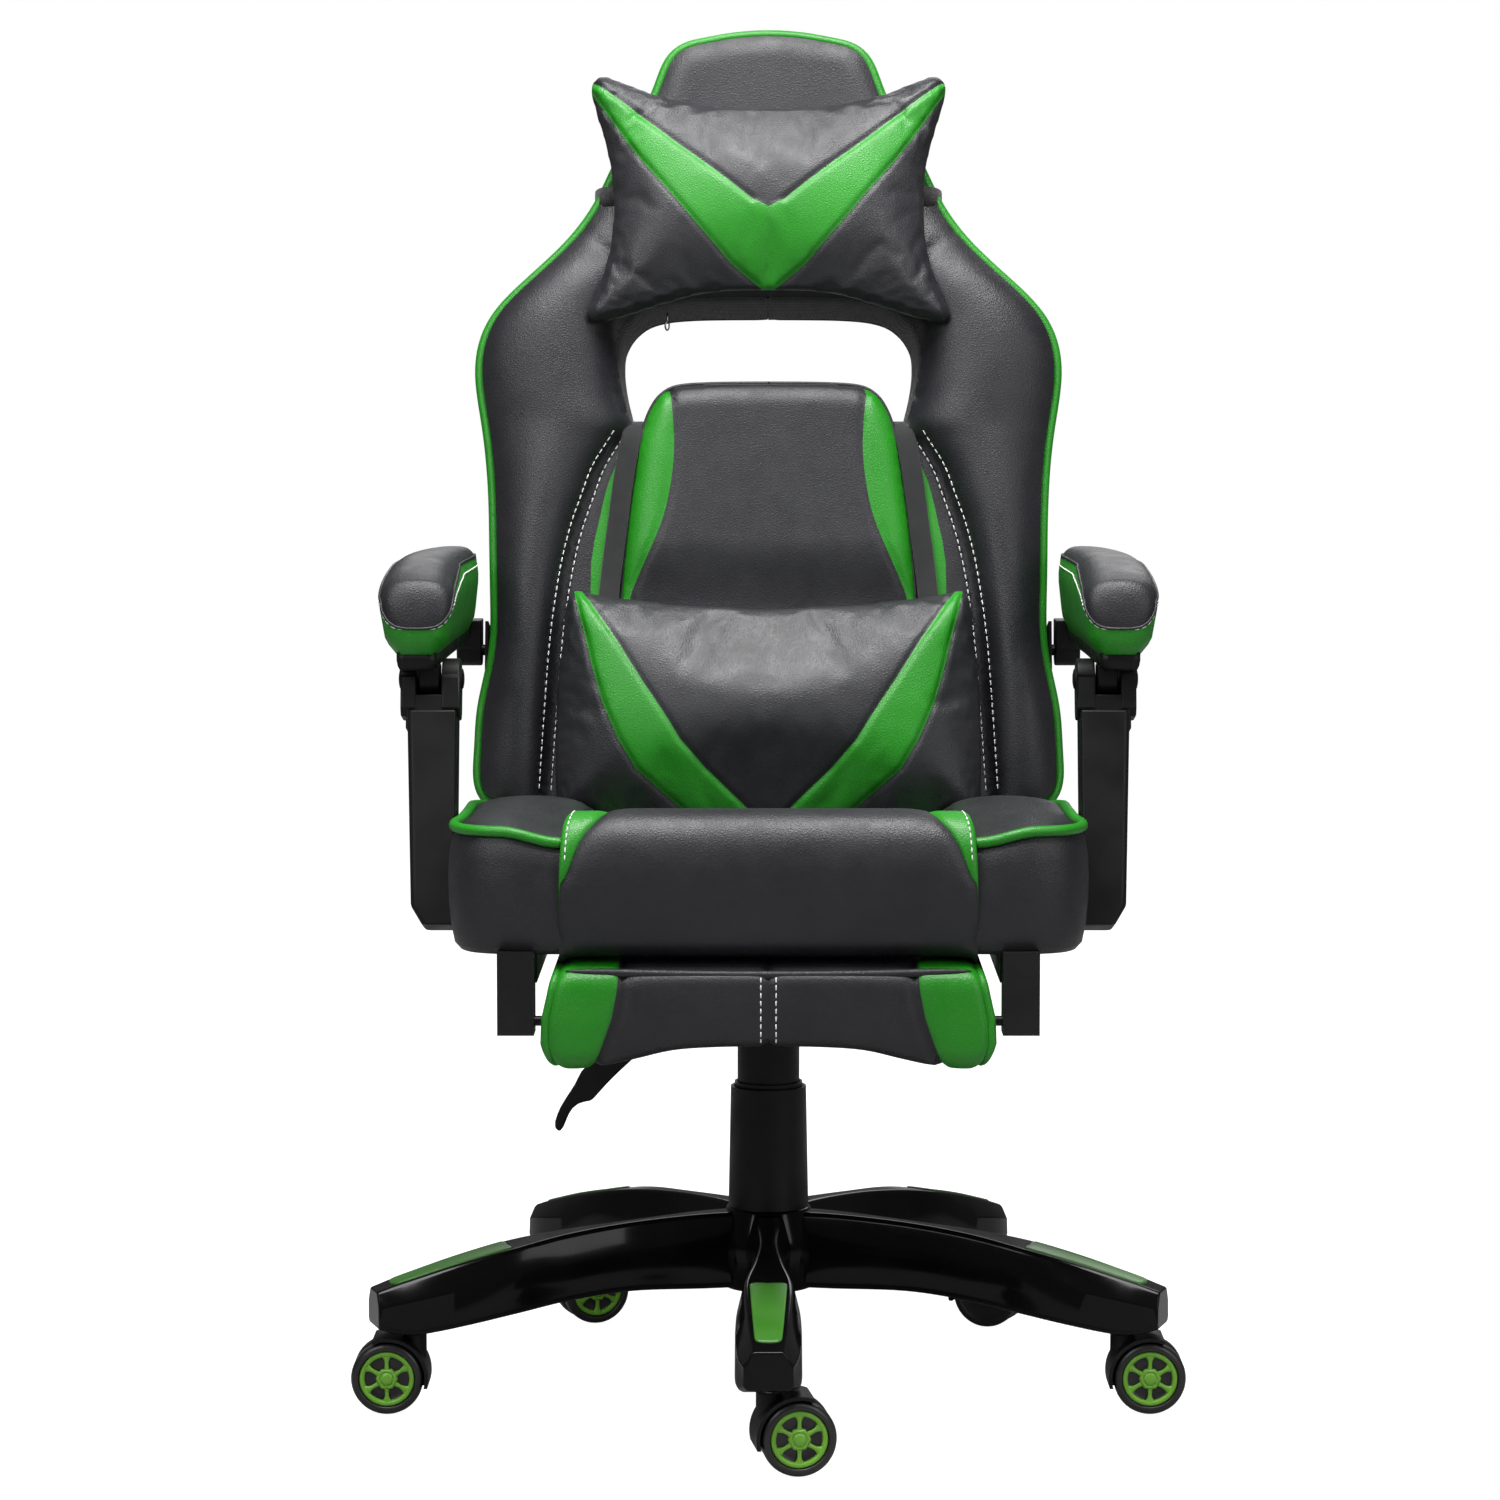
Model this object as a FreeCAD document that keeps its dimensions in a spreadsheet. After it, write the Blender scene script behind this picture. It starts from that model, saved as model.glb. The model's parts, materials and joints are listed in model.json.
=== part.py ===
import FreeCAD, Part
import os
import re
import Sketcher
from FreeCAD import Placement, Rotation, Vector

# Gaming chair in millimetres, +Z up, the sitter faces -Y.
# The origin is on the floor under the axis of the gas column.

doc = FreeCAD.newDocument("gaming_chair")

# ---------------------------------------------------------------- driving sizes

SIZES = {
    # clearances
    "running_gap": 0.05,
    "slide_gap": 0.5,
    # casters: twin wheels that trail behind a vertical stem
    "wheel_radius": 30,
    "wheel_width": 17,
    "wheel_spacing": 8,
    "wheel_recess_radius": 23.5,
    "wheel_recess_depth": 5,
    "tyre_round": 3,
    "caster_trail": 22,
    "axle_radius": 4,
    "stem_radius": 5.5,
    "stem_reach": 26,
    "boss_radius": 10,
    "hood_gap": 1.5,
    "hood_wall": 3,
    "cap_thick": 4,
    "cap_rim": 4.5,
    "cap_boss": 7,
    # star base
    "leg_count": 5,
    "stem_circle": 310,
    "caster_head": 3,
    "hub_radius": 36,
    "waist_reach": 125,
    "insert_reach": 225,
    "foot_reach": 309,
    "tip_reach": 345,
    "foot_clearance": 0.5,
    "insert_thick": 1.5,
    "insert_margin": 4,
    # gas column and its telescopic cover
    "column_radius": 25,
    "column_top": 322,
    "piston_radius": 14,
    "cover_wall": 2.5,
    "lower_cover_radius": 34,
    "lower_cover_taper": 2,
    "lower_cover_top": 258,
    "middle_cover_radius": 28.8,
    "middle_cover_wall": 1.8,
    "middle_cover_top": 262,
    "upper_cover_radius": 26.3,
    "upper_cover_wall": 0.9,
    # tilt mechanism
    "housing_half": 55,
    "housing_front": -62,
    "housing_rear": 105,
    "housing_bottom": 332,
    "housing_top": 380,
    "tilt_pivot_back": -45,
    "tilt_pivot_up": 368,
    "tilt_pin_radius": 5,
    "socket_depth": 26,
    "knob_back": -52,
    "knob_radius": 20,
    "knob_height": 24,
    "lever_gap": 2,
    "lever_thick": 9,
    "lever_reach": 180,
    "lever_tip_up": 219,
    "lever_root_up": 352,
    # seat
    "plate_half": 95,
    "plate_rear": 135,
    "plate_thick": 8,
    "board_thick": 12,
    "seat_bottom": 412,
    "seat_half": 250,
    "seat_middle_half": 165,
    "seat_front": -278,
    "seat_rear": 185,
    "roll_depth": 52,
    "roll_top": 517,
    "bolster_top": 505,
    "bolster_rear_top": 480,
    "dish_top": 480,
    # footrest
    "guide_inner": 184,
    "guide_outer": 215,
    "guide_height": 32,
    "guide_wall": 4,
    "guide_front": -245,
    "guide_rear": 190,
    "rest_half": 181.5,
    "rest_depth": 193,
    "rest_bottom": 314,
    "rest_arch": 17,
    "rest_top": 390,
    "rest_board_thick": 10,
    "rest_pivot_back": -262,
    "rest_pivot_up": 352,
    "rest_pin_radius": 4,
    # backrest, in its own leaned frame: rise runs up the back from the foot
    "lean": 13,
    "back_foot_back": 200,
    "back_foot_up": 500,
    "recline_pivot_back": 215,
    "recline_pivot_up": 430,
    "recline_pin_radius": 6,
    "back_pad_thick": 45,
    "back_frame_thick": 12,
    "back_shell_thick": 8,
    "back_frame_inset": 21,
    "back_frame_bar": 30,
    "back_rise": 687,
    "back_drop": 26,
    "crown_half": 60,
    "corner_half": 97,
    "neck_half": 147,
    "shoulder_half": 263,
    "waist_half": 249,
    "hip_half": 261,
    "window_top": 437,
    "window_bottom": 322,
    "window_top_half": 135,
    "window_corner": 26,
    "window_bottom_half": 124,
    "tab_half": 97,
    "tab_top": 357,
    "centre_pad_thick": 12,
    "wing_inner": 150,
    "wing_outer": 247,
    "wing_depth": 44,
    # pillows
    "head_pillow_half": 160,
    "head_pillow_waist": 146,
    "head_pillow_low": 412,
    "head_pillow_high": 634,
    "head_pillow_thick": 62,
    "lumbar_half": 178,
    "lumbar_height": 174,
    "lumbar_drop": 22,
    "lumbar_thick": 72,
    # armrests, linked to the seat and to the back
    "link_length": 187,
    "arm_pivot_back": -150,
    "arm_clearance": 7,
    "arm_width": 40,
    "post_depth": 48,
    "fork_cheek": 11,
    "fork_round": 16,
    "arm_pin_radius": 5,
    "tray_bottom": 629,
    "tray_thick": 8,
    "arm_pad_top": 710,
    "arm_pad_front": -152,
    "arm_pad_rear": 262,
    "arm_pad_width": 63,
}

# Names for sums of sizes that several pieces share.
SUMS = {
    "wheel_stack": "(2 * wheel_width + wheel_spacing)",
    "hood_inner": "(wheel_radius + hood_gap)",
    "hood_outer": "(wheel_radius + hood_gap + hood_wall)",
    "caster_top": "(2 * wheel_radius + hood_gap + hood_wall)",
    "foot_bottom": "(caster_top + caster_head + foot_clearance)",
    "tip_bottom": "(foot_bottom + 6)",
    "tip_top": "(foot_bottom + 36)",
    "insert_bottom": "(foot_bottom + 12)",
    "insert_top": "(foot_bottom + 67)",
    "waist_bottom": "(foot_bottom + 22)",
    "waist_top": "(foot_bottom + 80)",
    "hub_bottom": "(foot_bottom + 18)",
    "hub_top": "(foot_bottom + 87)",
    "piston_bottom": "(hub_bottom + 24)",
    "middle_cover_bottom": "(hub_top + 10)",
    "upper_cover_bottom": "(hub_top + 17)",
    "foot_top": "(insert_top + (tip_top - insert_top) * (foot_reach - insert_reach)"
                " / (tip_reach - insert_reach))",
    "plate_bottom": "(seat_bottom - plate_thick)",
    "board_top": "(seat_bottom + board_thick)",
    "guide_bottom": "(seat_bottom - guide_height)",
    "rest_front": "(seat_front + 1)",
    "rest_rear": "(seat_front + 1 + rest_depth)",
    "lift_seat": "(housing_bottom - slide_gap)",
    "frame_start": "back_pad_thick",
    "shell_start": "(back_pad_thick + back_frame_thick)",
    "pivot_in": "((recline_pivot_back - back_foot_back) * cos(lean)"
                " + (back_foot_up - recline_pivot_up) * sin(lean))",
    "pivot_rise": "((recline_pivot_back - back_foot_back) * sin(lean)"
                  " - (back_foot_up - recline_pivot_up) * cos(lean))",
    "link_back": "(link_length * sin(lean))",
    "link_up": "(link_length * cos(lean))",
    "arm_inner": "(seat_half + arm_clearance)",
    "arm_outer": "(arm_inner + arm_width)",
    "arm_pad_outer": "(arm_inner + arm_pad_width)",
    "bracket_face": "(arm_inner - 2.5)",
}

sheet = doc.addObject("Spreadsheet::Sheet", "Sizes")
for row, (alias, value) in enumerate(SIZES.items(), start=1):
    sheet.set(f"A{row}", alias)
    sheet.set(f"B{row}", str(value))
    sheet.setAlias(f"B{row}", alias)
doc.recompute()

nodes = []


# ---------------------------------------------------------------- small helpers

def sized(expression):
    """An expression whose size names point at their cells in the sheet."""
    def swap(match):
        word = match.group()
        if word in SUMS:
            return sized(SUMS[word])
        return f"Sizes.{word}" if word in SIZES else word
    return re.sub(r"[a-z]+(?:_[a-z]+)*", swap, str(expression))


def size(expression):
    """The number that an expression of size names comes to."""
    return float(sheet.evalExpression(sized(expression).replace("Sizes.", "")))


def tie(item, prop, expression):
    """Bind one property of a document object to an expression of size names."""
    item.setExpression(prop, sized(expression))


def place(item, x="0", y="0", z="0", axis=None, angle="0"):
    """Bind where an object stands and how far it turns about an axis."""
    if axis:
        item.Placement = Placement(Vector(), Rotation(Vector(*axis), 10))
        tie(item, "Placement.Rotation.Angle", angle)
    for letter, expression in zip("xyz", (x, y, z)):
        tie(item, f"Placement.Base.{letter}", expression)
    return item


def box(name, x, y, z):
    """A block between pairs of limits along each axis."""
    item = doc.addObject("Part::Box", name)
    for prop, (low, high) in zip(("Length", "Width", "Height"), (x, y, z)):
        tie(item, prop, f"{high} - ({low})")
    return place(item, x[0], y[0], z[0])


AXES = {"x": (Vector(0, 1, 0), 90), "y": (Vector(1, 0, 0), -90), "z": (Vector(0, 0, 1), 0)}


def rod(name, radius, start, length, along="z"):
    """A round bar from a start point in the positive direction of one axis."""
    item = doc.addObject("Part::Cylinder", name)
    tie(item, "Radius", radius)
    tie(item, "Height", length)
    item.Placement = Placement(Vector(), Rotation(*AXES[along]))
    return place(item, *start)


def fuse(name, pieces):
    """Pieces joined into one solid."""
    item = doc.addObject("Part::MultiFuse", name)
    item.Shapes = pieces
    item.Refine = True
    return item


def cut(name, base, tools):
    """A base with one or more tools taken away."""
    item = doc.addObject("Part::Cut", name)
    item.Base = base
    item.Tool = tools[0] if len(tools) == 1 else fuse(f"{name}_tools", tools)
    item.Refine = True
    return item


def group(name, pieces):
    """Separate solids kept together as one sub-part."""
    item = doc.addObject("Part::Compound", name)
    item.Links = pieces
    return item


def node(item, name):
    """Give a sub-part its name and list it for export."""
    item.Label = name
    nodes.append(item)
    return item


def origin_plane(body, role):
    return next(item for item in body.Origin.OriginFeatures if item.Role == role)


def outline(body, name, plane, points, offset="0"):
    """A closed sketch of straight runs whose corners are bound to size names."""
    sketch = body.newObject("Sketcher::SketchObject", name)
    sketch.AttachmentSupport = (origin_plane(body, plane), [""])
    sketch.MapMode = "FlatFace"
    tie(sketch, "AttachmentOffset.Base.z", offset)
    corners = [(size(across), size(up)) for across, up in points]
    for here, there in zip(corners, corners[1:] + corners[:1]):
        sketch.addGeometry(Part.LineSegment(Vector(*here, 0), Vector(*there, 0)), False)
    for index in range(len(points)):
        follower = (index + 1) % len(points)
        sketch.addConstraint(Sketcher.Constraint("Coincident", index, 2, follower, 1))
    for index, (expressions, corner) in enumerate(zip(points, corners)):
        for kind, expression, value in zip(("DistanceX", "DistanceY"), expressions, corner):
            number = sketch.addConstraint(Sketcher.Constraint(kind, -1, 1, index, 1, value))
            tie(sketch, f"Constraints[{number}]", expression)
    return sketch


# which way a pad grows from each plane: the sketch offset for a pair of limits
STARTS = {"XY_Plane": "({0})", "YZ_Plane": "({0})", "XZ_Plane": "-({1})"}


def slab(name, plane, points, limits):
    """A body padded from one outline between two limits across its plane."""
    body = doc.addObject("PartDesign::Body", name)
    sketch = outline(body, f"{name}_outline", plane, points, STARTS[plane].format(*limits))
    pad = body.newObject("PartDesign::Pad", f"{name}_pad")
    pad.Profile = sketch
    tie(pad, "Length", f"({limits[1]}) - ({limits[0]})")
    return body


def turned(name, points):
    """A body turned about +Z from an outline of (radius, height) corners."""
    body = doc.addObject("PartDesign::Body", name)
    sketch = outline(body, f"{name}_outline", "XZ_Plane", points)
    spin = body.newObject("PartDesign::Revolution", f"{name}_spin")
    spin.Profile = sketch
    spin.ReferenceAxis = (sketch, ["V_Axis"])
    spin.Angle = 360
    return body


def both_sides(make):
    """What make(side) gives for the left side, -1, and the right side, 1."""
    return [make(-1), make(1)]


def mirrored(side, low, high):
    """Limits along X on one side of the chair."""
    return (f"-({high})", f"-({low})") if side < 0 else (low, high)


def lean_back(item):
    """Stand a piece modelled in the backrest's frame at the leaned back's foot."""
    return place(item, "0", "back_foot_back", "back_foot_up", (-1, 0, 0), "lean")


# ---------------------------------------------------------------- casters

def wheel(name, side):
    """One wheel of a caster: a tread, a web and a recess that takes the cap."""
    points = [
        ("axle_radius + running_gap", "0"),
        ("wheel_radius - tyre_round", "0"),
        ("wheel_radius", "tyre_round"),
        ("wheel_radius", "wheel_width - tyre_round"),
        ("wheel_radius - tyre_round", "wheel_width"),
        ("wheel_recess_radius", "wheel_width"),
        ("wheel_recess_radius", "wheel_width - wheel_recess_depth"),
        ("axle_radius + running_gap", "wheel_width - wheel_recess_depth"),
    ]
    item = turned(name, points)
    face = (1, 0, 0) if side < 0 else (-1, 0, 0)
    return place(item, "caster_trail", f"{side} * wheel_spacing / 2", "wheel_radius", face, "90")


def caster_housing(name):
    """The hood over the trailing wheels, the web between them and the stem's boss."""
    shell = rod(f"{name}_shell", "hood_outer", ("caster_trail", "-wheel_stack / 2", "wheel_radius"),
                "wheel_stack", "y")
    boss = rod(f"{name}_boss", "boss_radius", ("0", "0", "wheel_radius"),
               "wheel_radius + hood_gap + hood_wall")
    room = rod(f"{name}_room", "hood_inner",
               ("caster_trail", "-wheel_stack / 2 - 1", "wheel_radius"), "wheel_stack + 2", "y")
    front = box(f"{name}_front", ("caster_trail + 12", "caster_trail + 2 * wheel_radius"),
                ("-wheel_stack", "wheel_stack"), ("-1", "3 * wheel_radius"))
    under = box(f"{name}_under", ("-2 * wheel_radius", "caster_trail + 2 * wheel_radius"),
                ("-wheel_stack", "wheel_stack"), ("-10", "wheel_radius - 8"))
    hood = cut(f"{name}_hood", fuse(f"{name}_blank", [shell, boss]), [room, front, under])
    web_disc = rod(f"{name}_web_disc", "hood_outer - 1",
                   ("caster_trail", "1 - wheel_spacing / 2", "wheel_radius"),
                   "wheel_spacing - 2", "y")
    web_front = box(f"{name}_web_front", ("caster_trail + 10", "caster_trail + 2 * wheel_radius"),
                    ("-wheel_stack", "wheel_stack"), ("-1", "3 * wheel_radius"))
    web_under = box(f"{name}_web_under", ("-2 * wheel_radius", "caster_trail + 2 * wheel_radius"),
                    ("-wheel_stack", "wheel_stack"), ("-10", "wheel_radius - 9"))
    web = cut(f"{name}_web", web_disc, [web_front, web_under])
    axle_bore = rod(f"{name}_axle_bore", "axle_radius",
                    ("caster_trail", "-wheel_stack", "wheel_radius"), "2 * wheel_stack", "y")
    stem_bore = rod(f"{name}_stem_bore", "stem_radius", ("0", "0", "wheel_radius + 22"),
                    "2 * wheel_radius")
    return cut(name, fuse(f"{name}_solid", [hood, web]), [axle_bore, stem_bore])


def caster_pins(name):
    """The steel stem that stands in the leg and the axle that carries the wheels."""
    stem = rod(f"{name}_stem", "stem_radius", ("0", "0", "wheel_radius + 28"),
               "caster_top + caster_head + stem_reach - (wheel_radius + 28)")
    axle = rod(f"{name}_axle", "axle_radius",
               ("caster_trail", "wheel_recess_depth - wheel_stack / 2", "wheel_radius"),
               "wheel_stack - 2 * wheel_recess_depth", "y")
    return group(name, [stem, axle])


def caster_cap(name, side):
    """A spoked cap that fills the recess of one wheel."""
    body = doc.addObject("PartDesign::Body", name)
    disc = outline(body, f"{name}_section", "XZ_Plane", [
        ("0", "0"),
        ("wheel_recess_radius - running_gap", "0"),
        ("wheel_recess_radius - running_gap", "cap_thick"),
        ("0", "cap_thick"),
    ])
    spin = body.newObject("PartDesign::Revolution", f"{name}_spin")
    spin.Profile = disc
    spin.ReferenceAxis = (disc, ["V_Axis"])
    spin.Angle = 360
    window = outline(body, f"{name}_window", "XY_Plane", [
        ("cap_boss + 1.5", "-2"),
        ("wheel_recess_radius - cap_rim", "-6.5"),
        ("wheel_recess_radius - cap_rim", "6.5"),
        ("cap_boss + 1.5", "2"),
    ])
    pocket = body.newObject("PartDesign::Pocket", f"{name}_pocket")
    pocket.Profile = window
    pocket.Type = "ThroughAll"
    pocket.Midplane = True
    spread = body.newObject("PartDesign::PolarPattern", f"{name}_pattern")
    spread.Originals = [pocket]
    spread.Axis = (window, ["N_Axis"])
    spread.Angle = 360
    spread.Occurrences = 6
    body.Tip = spread
    face = (1, 0, 0) if side < 0 else (-1, 0, 0)
    seat = f"{side} * (wheel_stack / 2 - wheel_recess_depth)"
    return place(body, "caster_trail", seat, "wheel_radius", face, "90")


def stand_caster(item, leg, yaw):
    """Turn a caster piece about its stem and stand it under its leg."""
    return place(item, f"stem_circle * sin({leg})", f"-stem_circle * cos({leg})", "0",
                 (0, 0, 1), f"{yaw}")


# each caster: the leg it stands under, counted from the front leg, how far the
# trail is turned from +X at rest, and the side of the wheel that has the cap
CASTERS = {
    "front": (0, 8, -1),
    "right": (72, 0, -1),
    "rear_right": (144, 338, 1),
    "rear_left": (216, 20, -1),
    "left": (288, 180, 1),
}

for place_name, (leg_angle, yaw_angle, cap_side) in CASTERS.items():
    prefix = f"caster_{place_name}"
    housing = node(caster_housing(f"{prefix}_housing"), f"{prefix}_housing")
    pins = node(caster_pins(f"{prefix}_pins"), f"{prefix}_pins")
    wheels = both_sides(lambda side: wheel(f"{prefix}_wheel_{'ab'[side > 0]}", side))
    pair = node(group(f"{prefix}_wheels", wheels), f"{prefix}_wheels")
    cap = node(group(f"{prefix}_cap", [caster_cap(f"{prefix}_cap_body", cap_side)]),
               f"{prefix}_cap")
    for piece in (housing, pins, pair, cap):
        stand_caster(piece, leg_angle, yaw_angle)


# ---------------------------------------------------------------- star base

# leg stations: reach, bottom, crease and top heights, bottom, crease and top half widths
LEG_STATIONS = [
    ("hub_radius - 10", "hub_bottom + 2", "hub_bottom + 42", "hub_top - 2", 20, 23, 15),
    ("waist_reach", "waist_bottom", "waist_bottom + 30", "waist_top", 13, 15, 6.5),
    ("insert_reach", "insert_bottom", "insert_bottom + 32", "insert_top", 24, 24.5, 19),
    ("foot_reach", "foot_bottom", "foot_bottom + 32", "foot_top", 27, 26, 15),
    ("tip_reach", "tip_bottom", "tip_bottom + 18", "tip_top", 20, 19, 13),
]


def leg_station(body, index, station):
    """One six-cornered section of a leg, across the leg's run."""
    reach, low, crease, high, low_half, crease_half, high_half = station
    points = [(f"-{low_half}", low), (f"{low_half}", low), (f"{crease_half}", crease),
              (f"{high_half}", high), (f"-{high_half}", high), (f"-{crease_half}", crease)]
    return outline(body, f"leg_station_{index}", "YZ_Plane", points, reach)


def star_base():
    """Hub and five legs moulded in one, bored for the column and the caster stems."""
    body = doc.addObject("PartDesign::Body", "base_moulding")
    hub = outline(body, "hub_section", "XZ_Plane", [
        ("column_radius", "hub_bottom"),
        ("hub_radius", "hub_bottom"),
        ("hub_radius - 1.5", "hub_top"),
        ("column_radius", "hub_top"),
    ])
    spin = body.newObject("PartDesign::Revolution", "hub_spin")
    spin.Profile = hub
    spin.ReferenceAxis = (hub, ["V_Axis"])
    spin.Angle = 360
    stations = [leg_station(body, index, station) for index, station in enumerate(LEG_STATIONS)]
    leg = body.newObject("PartDesign::AdditiveLoft", "leg")
    leg.Profile = stations[0]
    leg.Sections = stations[1:]
    leg.Ruled = True
    spread = body.newObject("PartDesign::PolarPattern", "legs")
    spread.Originals = [leg]
    spread.Axis = (origin_plane(body, "Z_Axis"), [""])
    spread.Angle = 360
    tie(spread, "Occurrences", "leg_count")
    body.Tip = spread
    body.Placement = Placement(Vector(), Rotation(Vector(0, 0, 1), -90))
    bore = rod("column_bore", "column_radius", ("0", "0", "0"), "2 * hub_top")
    sockets = []
    for name, (angle, _, _) in CASTERS.items():
        start = (f"stem_circle * sin({angle})", f"-stem_circle * cos({angle})", "0")
        top = "caster_top + caster_head + stem_reach + 1"
        sockets.append(rod(f"socket_{name}", "stem_radius + running_gap", start, top))
    return cut("star_base", body, [bore] + sockets)


def base_insert(name, angle):
    """A coloured plate let on to the sloping top of one leg."""
    start = "insert_reach + insert_margin"
    end = "tip_reach - insert_margin - 8"
    slope = "((tip_top - insert_top) / (tip_reach - insert_reach))"
    low = f"(insert_top + {slope} * insert_margin)"
    high = f"(insert_top + {slope} * (tip_reach - insert_margin - 8 - insert_reach))"
    profile = slab(f"{name}_profile", "XZ_Plane", [
        (start, low), (end, high),
        (end, f"{high} + insert_thick"), (start, f"{low} + insert_thick"),
    ], ("-30", "30"))
    plan = slab(f"{name}_plan", "XY_Plane", [
        (start, "-16"), (end, "-10.5"), (end, "10.5"), (start, "16"),
    ], ("tip_bottom", "hub_top"))
    plate = doc.addObject("Part::Common", name)
    plate.Base = profile
    plate.Tool = plan
    return place(plate, "0", "0", "0", (0, 0, 1), f"{angle}")


node(star_base(), "star_base")
inserts = [base_insert(f"insert_{name}", (angle + 270) % 360)
           for name, (angle, _, _) in CASTERS.items()]
node(group("base_inserts", inserts), "base_inserts")


# ---------------------------------------------------------------- column

node(turned("gas_cylinder", [
    ("0", "hub_bottom"),
    ("column_radius", "hub_bottom"),
    ("column_radius", "column_top"),
    ("piston_radius + running_gap", "column_top"),
    ("piston_radius + running_gap", "piston_bottom - 8"),
    ("0", "piston_bottom - 8"),
]), "gas_cylinder")

node(turned("gas_piston", [
    ("0", "piston_bottom"),
    ("piston_radius", "piston_bottom"),
    ("piston_radius", "housing_bottom + socket_depth - 1"),
    ("0", "housing_bottom + socket_depth - 1"),
]), "gas_piston")

node(turned("cover_lower", [
    ("column_radius + slide_gap", "hub_top"),
    ("lower_cover_radius", "hub_top"),
    ("lower_cover_radius - lower_cover_taper", "lower_cover_top"),
    ("lower_cover_radius - lower_cover_taper - cover_wall", "lower_cover_top"),
    ("lower_cover_radius - cover_wall", "hub_top + cover_wall"),
    ("column_radius + slide_gap", "hub_top + cover_wall"),
]), "cover_lower")

node(turned("cover_middle", [
    ("middle_cover_radius - middle_cover_wall", "middle_cover_bottom"),
    ("middle_cover_radius", "middle_cover_bottom"),
    ("middle_cover_radius", "middle_cover_top"),
    ("middle_cover_radius - middle_cover_wall", "middle_cover_top"),
]), "cover_middle")

node(turned("cover_upper", [
    ("upper_cover_radius - upper_cover_wall", "upper_cover_bottom"),
    ("upper_cover_radius", "upper_cover_bottom"),
    ("upper_cover_radius", "lift_seat"),
    ("piston_radius", "lift_seat"),
    ("piston_radius", "lift_seat - cover_wall"),
    ("upper_cover_radius - upper_cover_wall", "lift_seat - cover_wall"),
]), "cover_upper")


# ---------------------------------------------------------------- tilt mechanism

def mechanism_housing():
    """A pressed housing that slopes down behind the tilt pin and holds the piston."""
    body = slab("housing_block", "YZ_Plane", [
        ("housing_front", "housing_bottom + 6"),
        ("housing_front + 6", "housing_bottom"),
        ("housing_rear", "housing_bottom"),
        ("housing_rear", "housing_bottom + 8"),
        ("tilt_pivot_back + 20", "housing_top"),
        ("housing_front", "housing_top"),
    ], ("-housing_half", "housing_half"))
    socket = rod("piston_socket", "piston_radius + running_gap", ("0", "0", "housing_bottom - 1"),
                 "socket_depth + 1")
    pin_bore = rod("tilt_bore", "tilt_pin_radius",
                   ("-housing_half - 1", "tilt_pivot_back", "tilt_pivot_up"),
                   "2 * housing_half + 2", "x")
    knob_bore = rod("knob_bore", "6 + running_gap", ("0", "knob_back", "housing_bottom - 1"), "13")
    return cut("mechanism_housing", body, [socket, pin_bore, knob_bore])


node(mechanism_housing(), "mechanism_housing")
node(rod("tilt_pin", "tilt_pin_radius", ("-housing_half - 9", "tilt_pivot_back", "tilt_pivot_up"),
         "2 * housing_half + 18", "x"), "tilt_pin")

knob = turned("tension_knob", [
    ("0", "housing_bottom - slide_gap - knob_height"),
    ("knob_radius - 3", "housing_bottom - slide_gap - knob_height"),
    ("knob_radius", "housing_bottom - slide_gap - knob_height + 4"),
    ("knob_radius - 2", "housing_bottom - slide_gap"),
    ("6", "housing_bottom - slide_gap"),
    ("6", "housing_bottom + 11"),
    ("0", "housing_bottom + 11"),
])
node(place(knob, "0", "knob_back", "0"), "tension_knob")

# the lever hangs out of the housing's left side, then drops and curls outwards
lever = slab("height_lever", "XZ_Plane", [
    ("-housing_half - lever_gap", "lever_root_up + 5"),
    ("-housing_half - lever_gap", "lever_root_up - 5"),
    ("-100", "lever_root_up - 46"),
    ("-132", "lever_tip_up + 42"),
    ("-150", "lever_tip_up + 12"),
    ("-lever_reach + 6", "lever_tip_up"),
    ("-lever_reach", "lever_tip_up + 6"),
    ("-158", "lever_tip_up + 24"),
    ("-140", "lever_tip_up + 50"),
    ("-106", "lever_root_up - 36"),
], ("10", "10 + lever_thick"))
node(lever, "height_lever")


# ---------------------------------------------------------------- seat

def seat_plate():
    """The steel plate under the seat, with two ears that turn on the tilt pin."""
    plate = box("seat_plate_sheet", ("-plate_half", "plate_half"),
                ("housing_front + 2", "plate_rear"), ("plate_bottom", "seat_bottom"))
    ears = both_sides(lambda side: box(
        f"seat_ear_{'lr'[side > 0]}", mirrored(side, "housing_half + 1", "housing_half + 6"),
        ("tilt_pivot_back - 13", "tilt_pivot_back + 13"), ("tilt_pivot_up - 12", "plate_bottom + 1")))
    bore = rod("ear_bore", "tilt_pin_radius + running_gap",
               ("-housing_half - 12", "tilt_pivot_back", "tilt_pivot_up"),
               "2 * housing_half + 24", "x")
    return cut("seat_plate", fuse("seat_plate_blank", [plate] + ears), [bore])


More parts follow.
